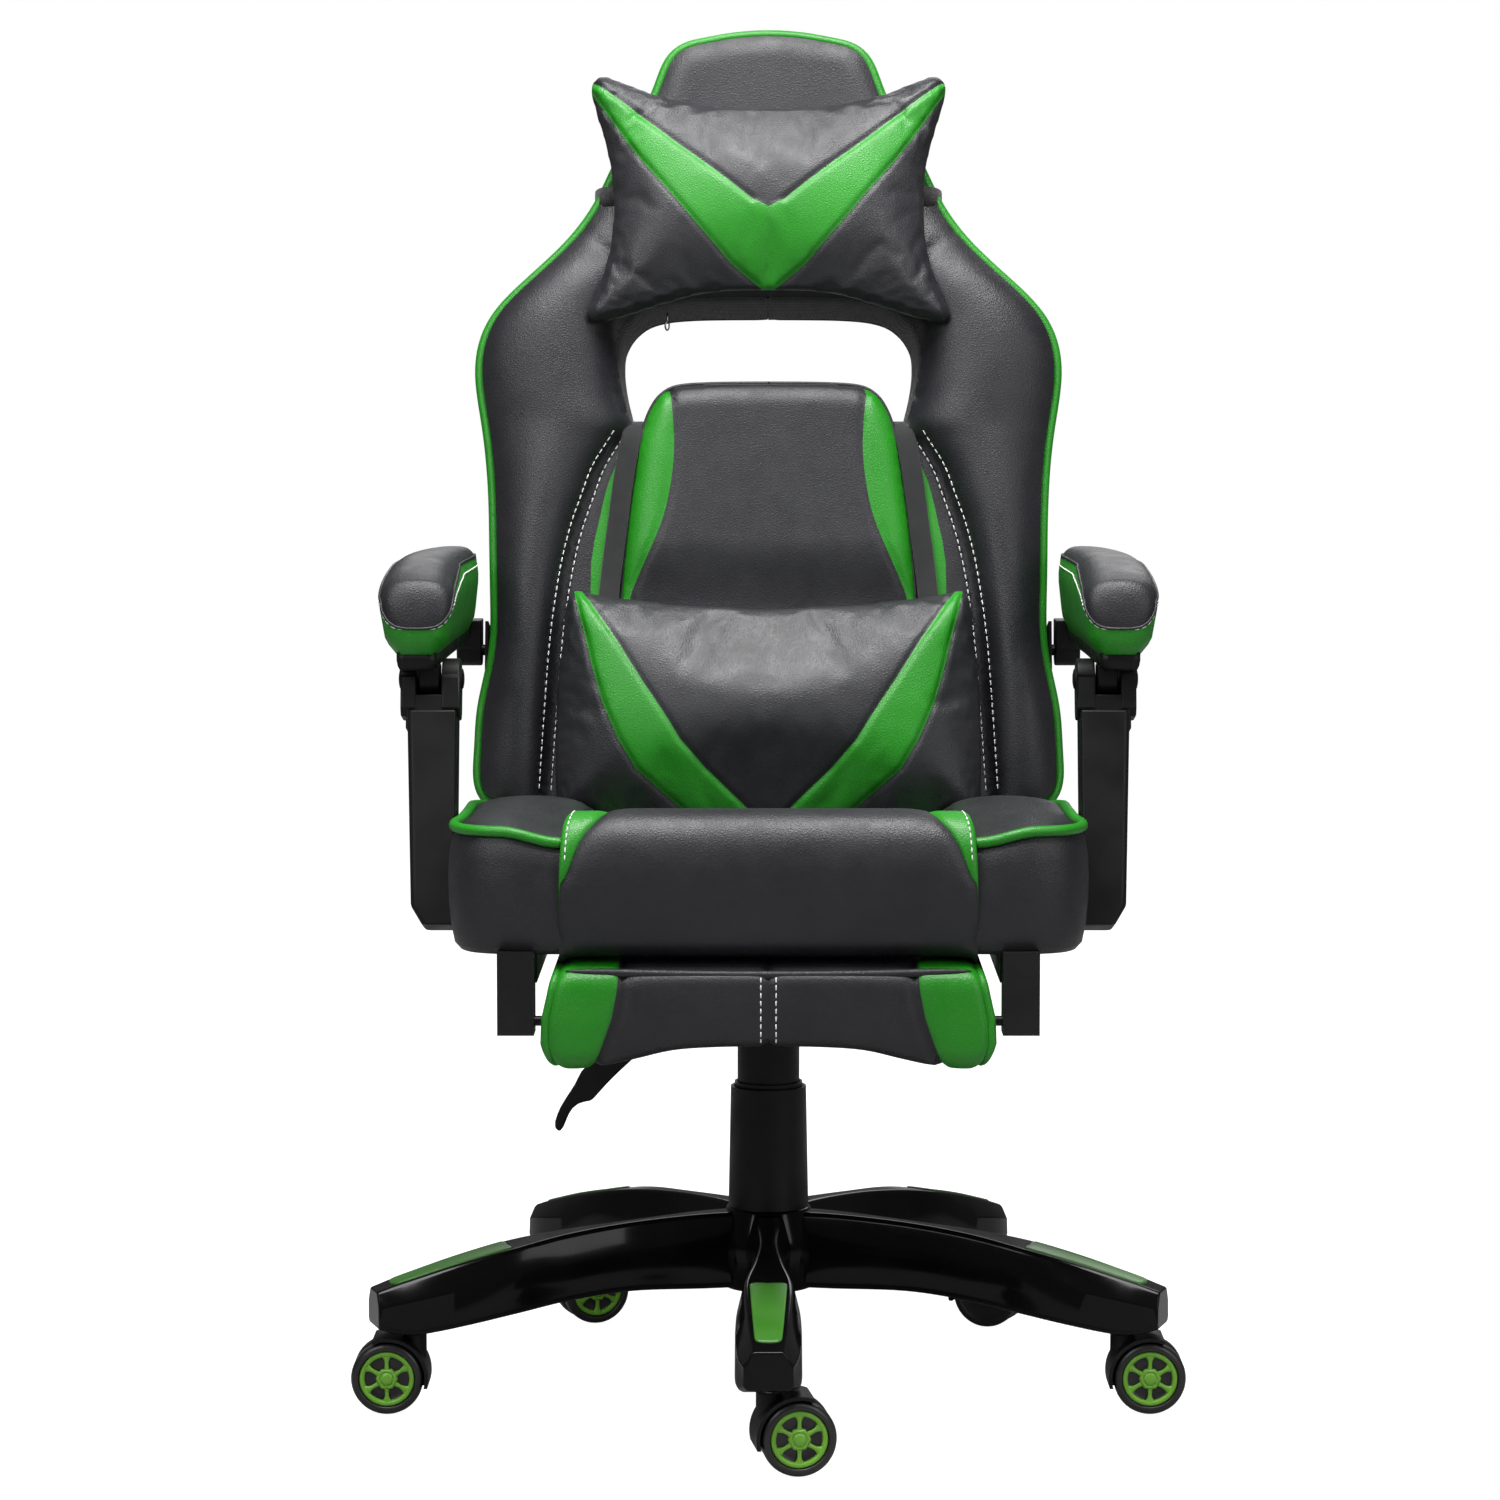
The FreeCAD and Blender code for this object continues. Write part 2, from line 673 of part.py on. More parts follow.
node(seat_plate(), "seat_plate")
node(box("seat_board", ("15 - seat_half", "seat_half - 15"), ("seat_front + 24", "seat_rear"),
         ("seat_bottom", "board_top")), "seat_board")
node(slab("seat_cushion", "YZ_Plane", [
    ("seat_front + roll_depth", "board_top"),
    ("seat_rear", "board_top"),
    ("seat_rear", "dish_top - 12"),
    ("seat_rear - 90", "dish_top - 9"),
    ("seat_front + roll_depth + 70", "dish_top + 6"),
    ("seat_front + roll_depth", "roll_top - 14"),
], ("-seat_middle_half", "seat_middle_half")), "seat_cushion")
node(slab("seat_front_roll", "YZ_Plane", [
    ("seat_front + roll_depth", "board_top"),
    ("seat_front + roll_depth", "roll_top - 2"),
    ("seat_front + roll_depth - 14", "roll_top"),
    ("seat_front + 16", "roll_top - 9"),
    ("seat_front + 3", "roll_top - 30"),
    ("seat_front", "roll_top - 55"),
    ("seat_front + 4", "seat_bottom + 24"),
    ("seat_front + 16", "board_top"),
], ("-seat_middle_half", "seat_middle_half")), "seat_front_roll")


def seat_bolster(side):
    """A raised roll along one side of the seat, lower towards the back."""
    across = "-" if side < 0 else ""
    points = [("seat_middle_half", "board_top"), ("seat_half - 16", "board_top"),
              ("seat_half", "board_top + 26"), ("seat_half", "bolster_top - 18"),
              ("seat_half - 14", "bolster_top - 2"), ("seat_half - 42", "bolster_top"),
              ("seat_middle_half", "dish_top + 2")]
    points = [(f"{across}({reach})", up) for reach, up in points]
    name = f"seat_bolster_{'lr'[side > 0]}"
    blank = slab(f"{name}_blank", "XZ_Plane", points, ("seat_front + 8", "seat_rear"))
    slope = slab(f"{name}_slope", "YZ_Plane", [
        ("-60", "bolster_top"), ("seat_rear + 1", "bolster_rear_top"),
        ("seat_rear + 1", "bolster_top + 1"), ("-60", "bolster_top + 1"),
    ], mirrored(side, "seat_middle_half - 1", "seat_half + 1"))
    return cut(name, blank, [slope])


node(group("seat_bolsters", both_sides(seat_bolster)), "seat_bolsters")


def recliner_bracket(side):
    """A steel side plate that runs under the board and rises to the recline pin."""
    name = f"recliner_{'lr'[side > 0]}"
    low, high = mirrored(side, "seat_half - 17", "seat_half - 10.5")
    plate = slab(f"{name}_plate", "YZ_Plane", [
        ("seat_rear - 125", "plate_bottom"),
        ("recline_pivot_back + 20", "plate_bottom"),
        ("recline_pivot_back + 24", "recline_pivot_up"),
        ("recline_pivot_back + 16", "recline_pivot_up + 18"),
        ("recline_pivot_back - 14", "recline_pivot_up + 18"),
        ("seat_rear + 7", "recline_pivot_up"),
        ("seat_rear + 7", "seat_bottom"),
        ("seat_rear - 125", "seat_bottom"),
    ], (low, high))
    start, end = mirrored(side, "seat_half - 17", "seat_half + 7")
    pin = rod(f"{name}_pin", "recline_pin_radius", (start, "recline_pivot_back", "recline_pivot_up"),
              f"({end}) - ({start})", "x")
    return fuse(name, [plate, pin])


node(group("recliner_brackets", both_sides(recliner_bracket)), "recliner_brackets")

handle = slab("handle_bar", "YZ_Plane", [
    ("recline_pivot_back + 14", "recline_pivot_up - 12"),
    ("recline_pivot_back + 14", "recline_pivot_up + 12"),
    ("recline_pivot_back - 14", "recline_pivot_up + 13"),
    ("recline_pivot_back - 60", "recline_pivot_up + 7"),
    ("recline_pivot_back - 110", "recline_pivot_up + 9"),
    ("recline_pivot_back - 110", "recline_pivot_up - 9"),
    ("recline_pivot_back - 60", "recline_pivot_up - 7"),
    ("recline_pivot_back - 14", "recline_pivot_up - 13"),
], ("-seat_half - 6.5", "-seat_half - 1.5"))
handle_bore = rod("handle_bore", "recline_pin_radius + running_gap",
                  ("-seat_half - 12", "recline_pivot_back", "recline_pivot_up"), "20", "x")
node(cut("recline_lever", handle, [handle_bore]), "recline_lever")


def arm_bracket(side):
    """An angle bracket under the seat board with the pin of one arm post."""
    name = f"arm_bracket_{'lr'[side > 0]}"
    foot = box(f"{name}_foot", mirrored(side, "guide_outer + 1", "bracket_face"),
               ("arm_pivot_back - 20", "arm_pivot_back + 20"), ("plate_bottom", "seat_bottom"))
    cheek = box(f"{name}_cheek", mirrored(side, "bracket_face - 3", "bracket_face"),
                ("arm_pivot_back - 20", "arm_pivot_back + 20"),
                ("plate_bottom", "recline_pivot_up + 16"))
    start, end = mirrored(side, "bracket_face - 1", "arm_inner + 14")
    pin = rod(f"{name}_pin", "arm_pin_radius", (start, "arm_pivot_back", "recline_pivot_up"),
              f"({end}) - ({start})", "x")
    return fuse(name, [foot, cheek, pin])


node(group("arm_brackets", both_sides(arm_bracket)), "arm_brackets")


# ---------------------------------------------------------------- footrest

def guide(side):
    """A channel under the seat board that a footrest rail slides in."""
    name = f"guide_{'lr'[side > 0]}"
    outer = box(f"{name}_outer", mirrored(side, "guide_inner", "guide_outer"),
                ("guide_front", "guide_rear"), ("guide_bottom", "seat_bottom"))
    inner = box(f"{name}_inner",
                mirrored(side, "guide_inner + guide_wall", "guide_outer - guide_wall"),
                ("guide_front - 1", "guide_rear + 1"),
                ("guide_bottom + guide_wall", "seat_bottom - guide_wall"))
    return cut(name, outer, [inner])


def rail(side):
    """A footrest rail with the drop bracket and the hinge pin at its front end."""
    name = f"rail_{'lr'[side > 0]}"
    wall = "(guide_wall + slide_gap)"
    bar = box(f"{name}_bar", mirrored(side, f"guide_inner + {wall}", f"guide_outer - {wall}"),
              ("guide_front - 3", "guide_rear - 8"),
              (f"guide_bottom + {wall}", f"seat_bottom - {wall}"))
    drop = box(f"{name}_drop", mirrored(side, "guide_inner + 1", "guide_outer - 1"),
               ("rest_pivot_back - 14", "guide_front - 2"),
               ("rest_pivot_up - 10", "seat_bottom - guide_wall"))
    start, end = mirrored(side, "rest_half - 3", "guide_inner + 10")
    pin = rod(f"{name}_pin", "rest_pin_radius", (start, "rest_pivot_back", "rest_pivot_up"),
              f"({end}) - ({start})", "x")
    return fuse(name, [bar, drop, pin])


def footrest_board():
    """The stiff board of the footrest with a hinge cheek at each end."""
    top = box("rest_board_sheet", ("-rest_half", "rest_half"), ("rest_front", "rest_rear"),
              ("rest_top - rest_board_thick", "rest_top"))
    cheeks = both_sides(lambda side: box(
        f"rest_cheek_{'lr'[side > 0]}", mirrored(side, "rest_half - 3", "rest_half"),
        ("rest_front", "rest_pivot_back + 16"), ("rest_pivot_up - 12", "rest_top")))
    bore = rod("rest_bore", "rest_pin_radius + running_gap",
               ("-rest_half - 2", "rest_pivot_back", "rest_pivot_up"), "2 * rest_half + 4", "x")
    return cut("footrest_board", fuse("rest_board_blank", [top] + cheeks), [bore])


node(group("footrest_guides", both_sides(guide)), "footrest_guides")
node(group("footrest_rails", both_sides(rail)), "footrest_rails")
node(footrest_board(), "footrest_board")
pad_top = "rest_top - rest_board_thick"
node(slab("footrest_pad", "XZ_Plane", [
    ("3.5 - rest_half", pad_top),
    ("3.5 - rest_half", "rest_bottom + 12"),
    ("20 - rest_half", "rest_bottom"),
    ("90 - rest_half", "rest_bottom + rest_arch"),
    ("rest_half - 90", "rest_bottom + rest_arch"),
    ("rest_half - 20", "rest_bottom"),
    ("rest_half - 3.5", "rest_bottom + 12"),
    ("rest_half - 3.5", pad_top),
], ("rest_front", "rest_rear")), "footrest_pad")


# ---------------------------------------------------------------- backrest

def back_face(inset, depth):
    """The backrest's outline at one depth of its own frame, as a smooth closed face."""
    rise = size("back_rise")
    drop = -size("back_drop")
    side = [
        (size("crown_half"), rise - 7.5),
        (size("corner_half") - 4, rise - 26),
        (size("corner_half") + 6, rise - 52),
        (size("neck_half") - 10, rise - 119),
        (size("neck_half") + 7, rise - 156),
        (size("shoulder_half") - 83, rise - 194),
        (size("shoulder_half") - 40, rise - 236),
        (size("shoulder_half") - 10, rise - 272),
        (size("shoulder_half"), rise - 309),
        (size("shoulder_half") - 6, rise - 364),
        (size("waist_half") + 1, rise - 434),
        (size("waist_half") - 1, rise - 514),
        (size("waist_half"), rise - 574),
        (size("hip_half") - 2, rise - 626),
        (size("hip_half"), rise - 662),
        (size("hip_half") - 3, drop + 12),
        (size("hip_half") - 14, drop),
    ]
    share = (rise - drop - 2 * inset) / (rise - drop)
    right = [(half - inset, drop + inset + (up - drop) * share) for half, up in side]
    left = [(-half, up) for half, up in reversed(right)]
    crest = [left[-1], (0, rise - inset), right[0]]
    edges = [Part.Arc(*[Vector(across, depth, up) for across, up in crest]).toShape()]
    for run in (right, left):
        curve = Part.BSplineCurve()
        curve.interpolate([Vector(across, depth, up) for across, up in run])
        edges.append(curve.toShape())
    foot = [Vector(across, depth, up) for across, up in (right[-1], left[0])]
    edges.append(Part.makeLine(*foot))
    return Part.Face(Part.Wire(Part.__sortEdges__(edges)))


def window_face(depth):
    """The opening behind the head, notched on both sides of the centre tab."""
    top = size("window_top")
    low = size("window_bottom")
    tab = size("tab_half")
    half = size("window_bottom_half")
    wide = size("window_top_half")
    tab_top = size("tab_top")
    corner = size("window_corner")
    right = [(wide - corner, top), (wide - 8, top - corner / 2), (wide, top - corner),
             (half, low), (tab, low), (tab, tab_top)]
    points = right + [(-across, up) for across, up in reversed(right)]
    loop = [Vector(across, depth, up) for across, up in points]
    return Part.Face(Part.makePolygon(loop + loop[:1]))


def back_layer(inset, start, thick):
    """One layer of the backrest, with the window through it."""
    depth = size(start)
    face = back_face(inset, depth).cut(window_face(depth))
    return face.extrude(Vector(0, size(thick), 0)).Solids[0]


def shaped(name, shape):
    """A document object for a shape worked out from the sheet's sizes."""
    item = doc.addObject("Part::Feature", name)
    item.Shape = shape
    return item


def frame_arm(side):
    """A steel arm that hangs the frame on one recline pin."""
    name = f"frame_arm_{'lr'[side > 0]}"
    bar = slab(f"{name}_bar", "YZ_Plane", [
        ("pivot_in - 14", "pivot_rise - 12"),
        ("pivot_in + 12", "pivot_rise - 14"),
        ("shell_start", "pivot_rise + 12"),
        ("shell_start", "90"),
        ("frame_start", "90"),
        ("frame_start", "-back_drop - 1"),
        ("pivot_in - 14", "pivot_rise + 14"),
    ], mirrored(side, "seat_half - 10", "seat_half - 4"))
    start, end = mirrored(side, "seat_half - 20", "seat_half")
    bore = rod(f"{name}_bore", "recline_pin_radius + running_gap", (start, "pivot_in", "pivot_rise"),
               f"({end}) - ({start})", "x")
    return cut(name, bar, [bore])


def arm_tab(side):
    """A tab let into the frame, with the pin that carries the rear of one armrest."""
    name = f"arm_tab_{'lr'[side > 0]}"
    rise = "(pivot_rise + link_length)"
    span = (f"{rise} - 20", f"{rise} + 24")
    tongue = box(f"{name}_tongue", mirrored(side, "waist_half - back_frame_inset - 8", "bracket_face"),
                 ("frame_start", "shell_start"), span)
    cheek = box(f"{name}_cheek", mirrored(side, "bracket_face - 3", "bracket_face"),
                ("pivot_in - 14", "shell_start"), span)
    start, end = mirrored(side, "bracket_face - 1", "arm_inner + 12")
    pin = rod(f"{name}_pin", "arm_pin_radius", (start, "pivot_in", rise), f"({end}) - ({start})", "x")
    return fuse(name, [tongue, cheek, pin])


def back_hoop():
    """The flat steel loop inside the back, notched for its arms and tabs."""
    depth = size("frame_start")
    outer = back_face(size("back_frame_inset"), depth)
    inner = back_face(size("back_frame_inset + back_frame_bar"), depth)
    loop = outer.cut(inner).extrude(Vector(0, size("back_frame_thick"), 0)).Solids[0]
    return cut("back_hoop", shaped("hoop_blank", loop), frame_arms + arm_tabs)


frame_arms = both_sides(frame_arm)
arm_tabs = both_sides(arm_tab)
node(lean_back(back_hoop()), "back_hoop")
node(lean_back(group("back_brackets", frame_arms + arm_tabs)), "back_brackets")
node(lean_back(shaped("back_cushion", back_layer(0, "0", "back_pad_thick"))), "back_cushion")
node(lean_back(shaped("back_shell", back_layer(4, "shell_start", "back_shell_thick"))),
     "back_shell")
node(lean_back(slab("centre_pad", "XZ_Plane", [
    ("-tab_half + 6", "tab_top - 2"),
    ("-tab_half + 4", "window_bottom"),
    ("-window_bottom_half + 6", "window_bottom - 22"),
    ("-window_bottom_half - 4", "100"),
    ("-window_bottom_half + 4", "-back_drop + 5"),
    ("window_bottom_half - 4", "-back_drop + 5"),
    ("window_bottom_half + 4", "100"),
    ("window_bottom_half - 6", "window_bottom - 22"),
    ("tab_half - 4", "window_bottom"),
    ("tab_half - 6", "tab_top - 2"),
], ("-centre_pad_thick", "0"))), "centre_pad")

# wing stations up the back: rise, inner and outer reach at the root, and depth share
WING_STATIONS = [
    ("20", "wing_inner + 10", "wing_outer - 2", 0.75),
    ("110", "wing_inner", "wing_outer", 1.0),
    ("240", "wing_inner", "wing_outer", 1.0),
    ("window_top - 77", "wing_inner + 6", "wing_outer + 6", 0.9),
    ("window_top + 1", "wing_inner + 12", "wing_outer - 28", 0.5),
]


def wing(side):
    """A raised side of the backrest, lofted up through its stations."""
    name = f"wing_{'lr'[side > 0]}"
    body = doc.addObject("PartDesign::Body", name)
    across = "-" if side < 0 else ""
    sections = []
    for index, (rise, inner, outer, share) in enumerate(WING_STATIONS):
        points = [(f"{across}({inner})", "0"), (f"{across}({outer})", "0"),
                  (f"{across}({outer} - 8)", f"-{share} * wing_depth"),
                  (f"{across}({inner} + 40)", f"-{share} * wing_depth + 3")]
        sections.append(outline(body, f"{name}_section_{index}", "XY_Plane", points, rise))
    loft = body.newObject("PartDesign::AdditiveLoft", f"{name}_loft")
    loft.Profile = sections[0]
    loft.Sections = sections[1:]
    loft.Ruled = True
    return body


node(lean_back(group("back_wings", both_sides(wing))), "back_wings")

node(lean_back(slab("head_pillow", "XZ_Plane", [
    ("-head_pillow_half + 12", "head_pillow_low"),
    ("-head_pillow_half", "head_pillow_low + 14"),
    ("-head_pillow_waist", "(head_pillow_low + head_pillow_high) / 2"),
    ("-head_pillow_half", "head_pillow_high - 12"),
    ("-head_pillow_half + 10", "head_pillow_high"),
    ("0", "head_pillow_high - 18"),
    ("head_pillow_half - 10", "head_pillow_high"),
    ("head_pillow_half", "head_pillow_high - 12"),
    ("head_pillow_waist", "(head_pillow_low + head_pillow_high) / 2"),
    ("head_pillow_half", "head_pillow_low + 14"),
    ("head_pillow_half - 12", "head_pillow_low"),
    ("0", "head_pillow_low + 18"),
], ("-head_pillow_thick - 4", "-4"))), "head_pillow")

lumbar = slab("lumbar_pillow", "XY_Plane", [
    ("-lumbar_half", "-centre_pad_thick - 46"),
    ("-lumbar_half + 10", "-centre_pad_thick - 2 - lumbar_thick"),
    ("lumbar_half - 10", "-centre_pad_thick - 2 - lumbar_thick"),
    ("lumbar_half", "-centre_pad_thick - 46"),
    ("lumbar_half - 38", "-centre_pad_thick - 2"),
    ("38 - lumbar_half", "-centre_pad_thick - 2"),
], ("-lumbar_drop", "lumbar_height"))
node(lean_back(lumbar), "lumbar_pillow")


# ---------------------------------------------------------------- armrests

def arm_post(side):
    """A post that leans with the back, bored at its foot and forked at its head."""
    name = f"arm_post_{'lr'[side > 0]}"
    inner = "arm_inner + 1"
    shaft = box(f"{name}_shaft", mirrored(side, inner, "arm_outer"),
                ("-post_depth / 2", "post_depth / 2"), ("-18", "link_length - 22"))
    cheek_in = mirrored(side, "arm_inner - 1.5", "arm_inner - 1.5 + fork_cheek")
    cheek_out = mirrored(side, "arm_outer + 2.5 - fork_cheek", "arm_outer + 2.5")
    pieces = [shaft]
    for tag, limits in (("in", cheek_in), ("out", cheek_out)):
        reach = f"({limits[1]}) - ({limits[0]})"
        pieces.append(box(f"{name}_cheek_{tag}", limits, ("-fork_round", "fork_round"),
                          ("link_length - 36", "link_length")))
        pieces.append(rod(f"{name}_round_{tag}", "fork_round", (limits[0], "0", "link_length"),
                          reach, "x"))
    start, end = mirrored(side, "arm_inner + 2", "arm_outer - 2")
    pieces.append(rod(f"{name}_pin", "arm_pin_radius", (start, "0", "link_length"),
                      f"({end}) - ({start})", "x"))
    foot_start, foot_end = mirrored(side, "arm_inner - 1", "arm_inner + 16")
    bore = rod(f"{name}_bore", "arm_pin_radius + running_gap", (foot_start, "0", "0"),
               f"({foot_end}) - ({foot_start})", "x")
    item = cut(name, fuse(f"{name}_blank", pieces), [bore])
    return place(item, "0", "arm_pivot_back", "recline_pivot_up", (-1, 0, 0), "lean")


def arm_tray(side):
    """The moulded tray under one arm pad, with its front lug and its rear tail."""
    name = f"arm_tray_{'lr'[side > 0]}"
    across = "-" if side < 0 else ""
    plan = [("arm_inner + 2", "arm_pad_front + 24"), ("arm_inner + 16", "arm_pad_front + 5"),
            ("arm_pad_outer - 18", "arm_pad_front + 5"), ("arm_pad_outer - 4", "arm_pad_front + 26"),
            ("arm_pad_outer - 4", "60"), ("arm_inner + 36", "arm_pad_rear - 70"),
            ("arm_inner + 16", "arm_pad_rear"), ("arm_inner + 2", "arm_pad_rear")]
    tray = slab(f"{name}_tray", "XY_Plane", [(f"{across}({reach})", back) for reach, back in plan],
                ("tray_bottom", "tray_bottom + tray_thick"))
    front = "(arm_pivot_back + link_back)"
    height = "(recline_pivot_up + link_up)"
    lug_limits = mirrored(side, "arm_inner + fork_cheek", "arm_outer + 1 - fork_cheek")
    lug = box(f"{name}_lug", lug_limits, (f"{front} - 13", f"{front} + 13"),
              (f"{height} - 12", "tray_bottom + 1"))
    rear = "(recline_pivot_back + link_back)"
    tail = box(f"{name}_tail", mirrored(side, "arm_inner + 0.5", "arm_inner + 13"),
               (f"{rear} - 16", f"{rear} + 16"), (f"{height} - 14", "tray_bottom + 1"))
    start, end = mirrored(side, "arm_inner - 3", "arm_outer + 6")
    lug_bore = rod(f"{name}_lug_bore", "arm_pin_radius + slide_gap", (start, front, height),
                   f"({end}) - ({start})", "x")
    tail_bore = rod(f"{name}_tail_bore", "arm_pin_radius + running_gap", (start, rear, height),
                    f"({end}) - ({start})", "x")
    return cut(name, fuse(f"{name}_blank", [tray, lug, tail]), [lug_bore, tail_bore])


def arm_pad(side):
    """The soft pad of one armrest, curving inwards to the back at its rear end."""
    across = "-" if side < 0 else ""
    plan = [("arm_inner", "arm_pad_front + 22"), ("arm_inner + 14", "arm_pad_front"),
            ("arm_pad_outer - 16", "arm_pad_front"), ("arm_pad_outer", "arm_pad_front + 26"),
            ("arm_pad_outer", "65"), ("arm_inner + 42", "arm_pad_rear - 70"),
            ("arm_inner + 24", "arm_pad_rear"), ("arm_inner + 3", "arm_pad_rear")]
    return slab(f"arm_pad_{'lr'[side > 0]}", "XY_Plane",
                [(f"{across}({reach})", back) for reach, back in plan],
                ("tray_bottom + tray_thick", "arm_pad_top"))


for side, side_name in ((-1, "left"), (1, "right")):
    node(arm_post(side), f"arm_post_{side_name}")
    node(arm_tray(side), f"arm_tray_{side_name}")
    node(arm_pad(side), f"arm_pad_{side_name}")


# ---------------------------------------------------------------- checks and export

doc.recompute()

for item in doc.Objects:
    if "Invalid" in item.State or "Error" in item.State:
        raise RuntimeError(f"{item.Label} failed: {item.State}")
for item in nodes:
    if item.Shape.isNull() or not item.Shape.isValid() or not item.Shape.Solids:
        raise RuntimeError(f"{item.Label} has no valid solid")

os.makedirs("parts", exist_ok=True)
for item in nodes:
    item.Shape.exportStep(f"parts/{item.Label}.step")
print(len(nodes), "sub-parts")
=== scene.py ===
import json
import math
import bpy
import numpy as np
from mathutils import Matrix, Vector
from mathutils.geometry import delaunay_2d_cdt


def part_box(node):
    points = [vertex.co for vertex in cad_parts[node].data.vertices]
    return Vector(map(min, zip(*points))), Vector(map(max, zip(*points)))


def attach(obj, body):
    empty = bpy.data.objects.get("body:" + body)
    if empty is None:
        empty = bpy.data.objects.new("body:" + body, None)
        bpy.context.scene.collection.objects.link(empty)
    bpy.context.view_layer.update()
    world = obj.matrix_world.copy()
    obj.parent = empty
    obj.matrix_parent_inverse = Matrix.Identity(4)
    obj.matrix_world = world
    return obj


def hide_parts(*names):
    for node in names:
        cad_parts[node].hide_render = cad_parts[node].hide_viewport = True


# Gaming chair: the looks of every piece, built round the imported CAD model.
# Shapes are given in millimetres and become metres when a piece is made.

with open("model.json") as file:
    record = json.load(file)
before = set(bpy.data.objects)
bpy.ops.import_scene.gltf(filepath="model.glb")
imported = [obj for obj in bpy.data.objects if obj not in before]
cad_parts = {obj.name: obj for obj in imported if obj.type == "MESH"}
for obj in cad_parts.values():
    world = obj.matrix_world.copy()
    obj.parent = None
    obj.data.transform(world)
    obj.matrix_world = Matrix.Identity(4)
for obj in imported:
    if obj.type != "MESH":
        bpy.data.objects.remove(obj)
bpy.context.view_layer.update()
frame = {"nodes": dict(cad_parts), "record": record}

MM = 0.001
SIDES = (("left", -1), ("right", 1))

# the backrest's own frame: across, depth behind its front face, and rise up its front
LEAN = math.radians(13)
BACK = Matrix.Translation((0, 0.200, 0.500)) @ Matrix.Rotation(-LEAN, 4, "X")


# ---------------------------------------------------------------- curves and surfaces

def spline(points, step, closed=False):
    """Points a step apart on a smooth curve through the given ones."""
    points = np.array(points, float)
    count = len(points)
    spans = count if closed else count - 1
    fine = []
    for index in range(spans):
        near = [points[(index + k) % count] if closed else points[min(max(index + k, 0), count - 1)]
                for k in (-1, 0, 1, 2)]
        before, start, end, after = near
        for t in np.linspace(0, 1, 16, endpoint=False):
            fine.append(0.5 * (2 * start + (end - before) * t
                               + (2 * before - 5 * start + 4 * end - after) * t ** 2
                               + (3 * start - before - 3 * end + after) * t ** 3))
    fine.append(points[0] if closed else points[-1])
    return resample(fine, step, closed)


def resample(points, step, closed=False):
    """The same line with evenly spaced points; a closed line doesn't repeat its first."""
    points = np.array(points, float)
    run = np.r_[0, np.cumsum(np.linalg.norm(np.diff(points, axis=0), axis=1))]
    count = max(2, round(run[-1] / step))
    places = np.linspace(0, run[-1], count, endpoint=False) if closed \
        else np.linspace(0, run[-1], count + 1)
    return np.column_stack([np.interp(places, run, column) for column in points.T])


def curve(pairs):
    """A smooth function through (place, value) pairs."""
    line = spline(pairs, 1.0)
    order = np.argsort(line[:, 0])
    places, values = line[order, 0], line[order, 1]
    return lambda place: np.interp(place, places, values)


def between(pairs):
    """Straight runs through (place, value) pairs."""
    places, values = zip(*pairs)
    return lambda place: np.interp(place, places, values)


def mirrored(points):
    """A right-hand run of (across, up) points followed by its mirror image, reversed."""
    return [(x, y) for x, y in points] + [(-x, y) for x, y in reversed(points)]


def inside(points, ring):
    """Which points lie inside a closed ring."""
    x, y = points[:, 0][:, None], points[:, 1][:, None]
    x0, y0 = ring[:, 0][None], ring[:, 1][None]
    x1, y1 = np.roll(ring[:, 0], -1)[None], np.roll(ring[:, 1], -1)[None]
    crosses = (y0 > y) != (y1 > y)
    with np.errstate(divide="ignore", invalid="ignore"):
        place = (x1 - x0) * (y - y0) / (y1 - y0) + x0
    return (np.sum(crosses & (x < place), axis=1) % 2) == 1


def distance(points, line, closed=False):
    """How far each point is from a line."""
    line = np.array(line, float)
    start = line if closed else line[:-1]
    end = np.roll(line, -1, 0) if closed else line[1:]
    along = end - start
    length = np.maximum((along ** 2).sum(1), 1e-9)
    best = np.full(len(points), 1e9)
    for a, d, n in zip(start, along, length):
        t = np.clip(((points - a) @ d) / n, 0, 1)
        best = np.minimum(best, np.linalg.norm(points - a - t[:, None] * d, axis=1))
    return best


def rounded(gap, width):
    """0 at an edge, rising like a quarter circle to 1 at that width from it."""
    return np.sqrt(1 - (1 - np.clip(gap / width, 0, 1)) ** 2)


def ease(value, low, high):
    """0 below low, 1 above high and smooth between."""
    t = np.clip((value - low) / (high - low), 0, 1)
    return t * t * (3 - 2 * t)


def crease(gap, width):
    """1 on a line, fading out over the width."""
    return np.exp(-(gap / width) ** 2)


def offset(ring, gap):
    """A closed ring moved inwards by a gap."""
    ahead, behind = np.roll(ring, -1, 0), np.roll(ring, 1, 0)
    along = ahead - behind
    along /= np.linalg.norm(along, axis=1)[:, None]
    area = np.sum(ring[:, 0] * ahead[:, 1] - ahead[:, 0] * ring[:, 1])
    inward = np.column_stack([-along[:, 1], along[:, 0]]) * (1 if area > 0 else -1)
    return ring + inward * np.reshape(gap, (-1, 1))


def upright(flat, depth):
    """(across, rise) points stood up at a depth."""
    return np.column_stack([flat[:, 0], np.broadcast_to(depth, len(flat)), flat[:, 1]])


def level(flat, up):
    """(across, back) points laid level at a height."""
    return np.column_stack([flat, np.broadcast_to(up, len(flat))])


def sleeve(edge, profile, lay):
    """Rings round an edge, from a profile of (inset, place) pairs."""
    return [lay(offset(edge, inset), place) for inset, place in profile]


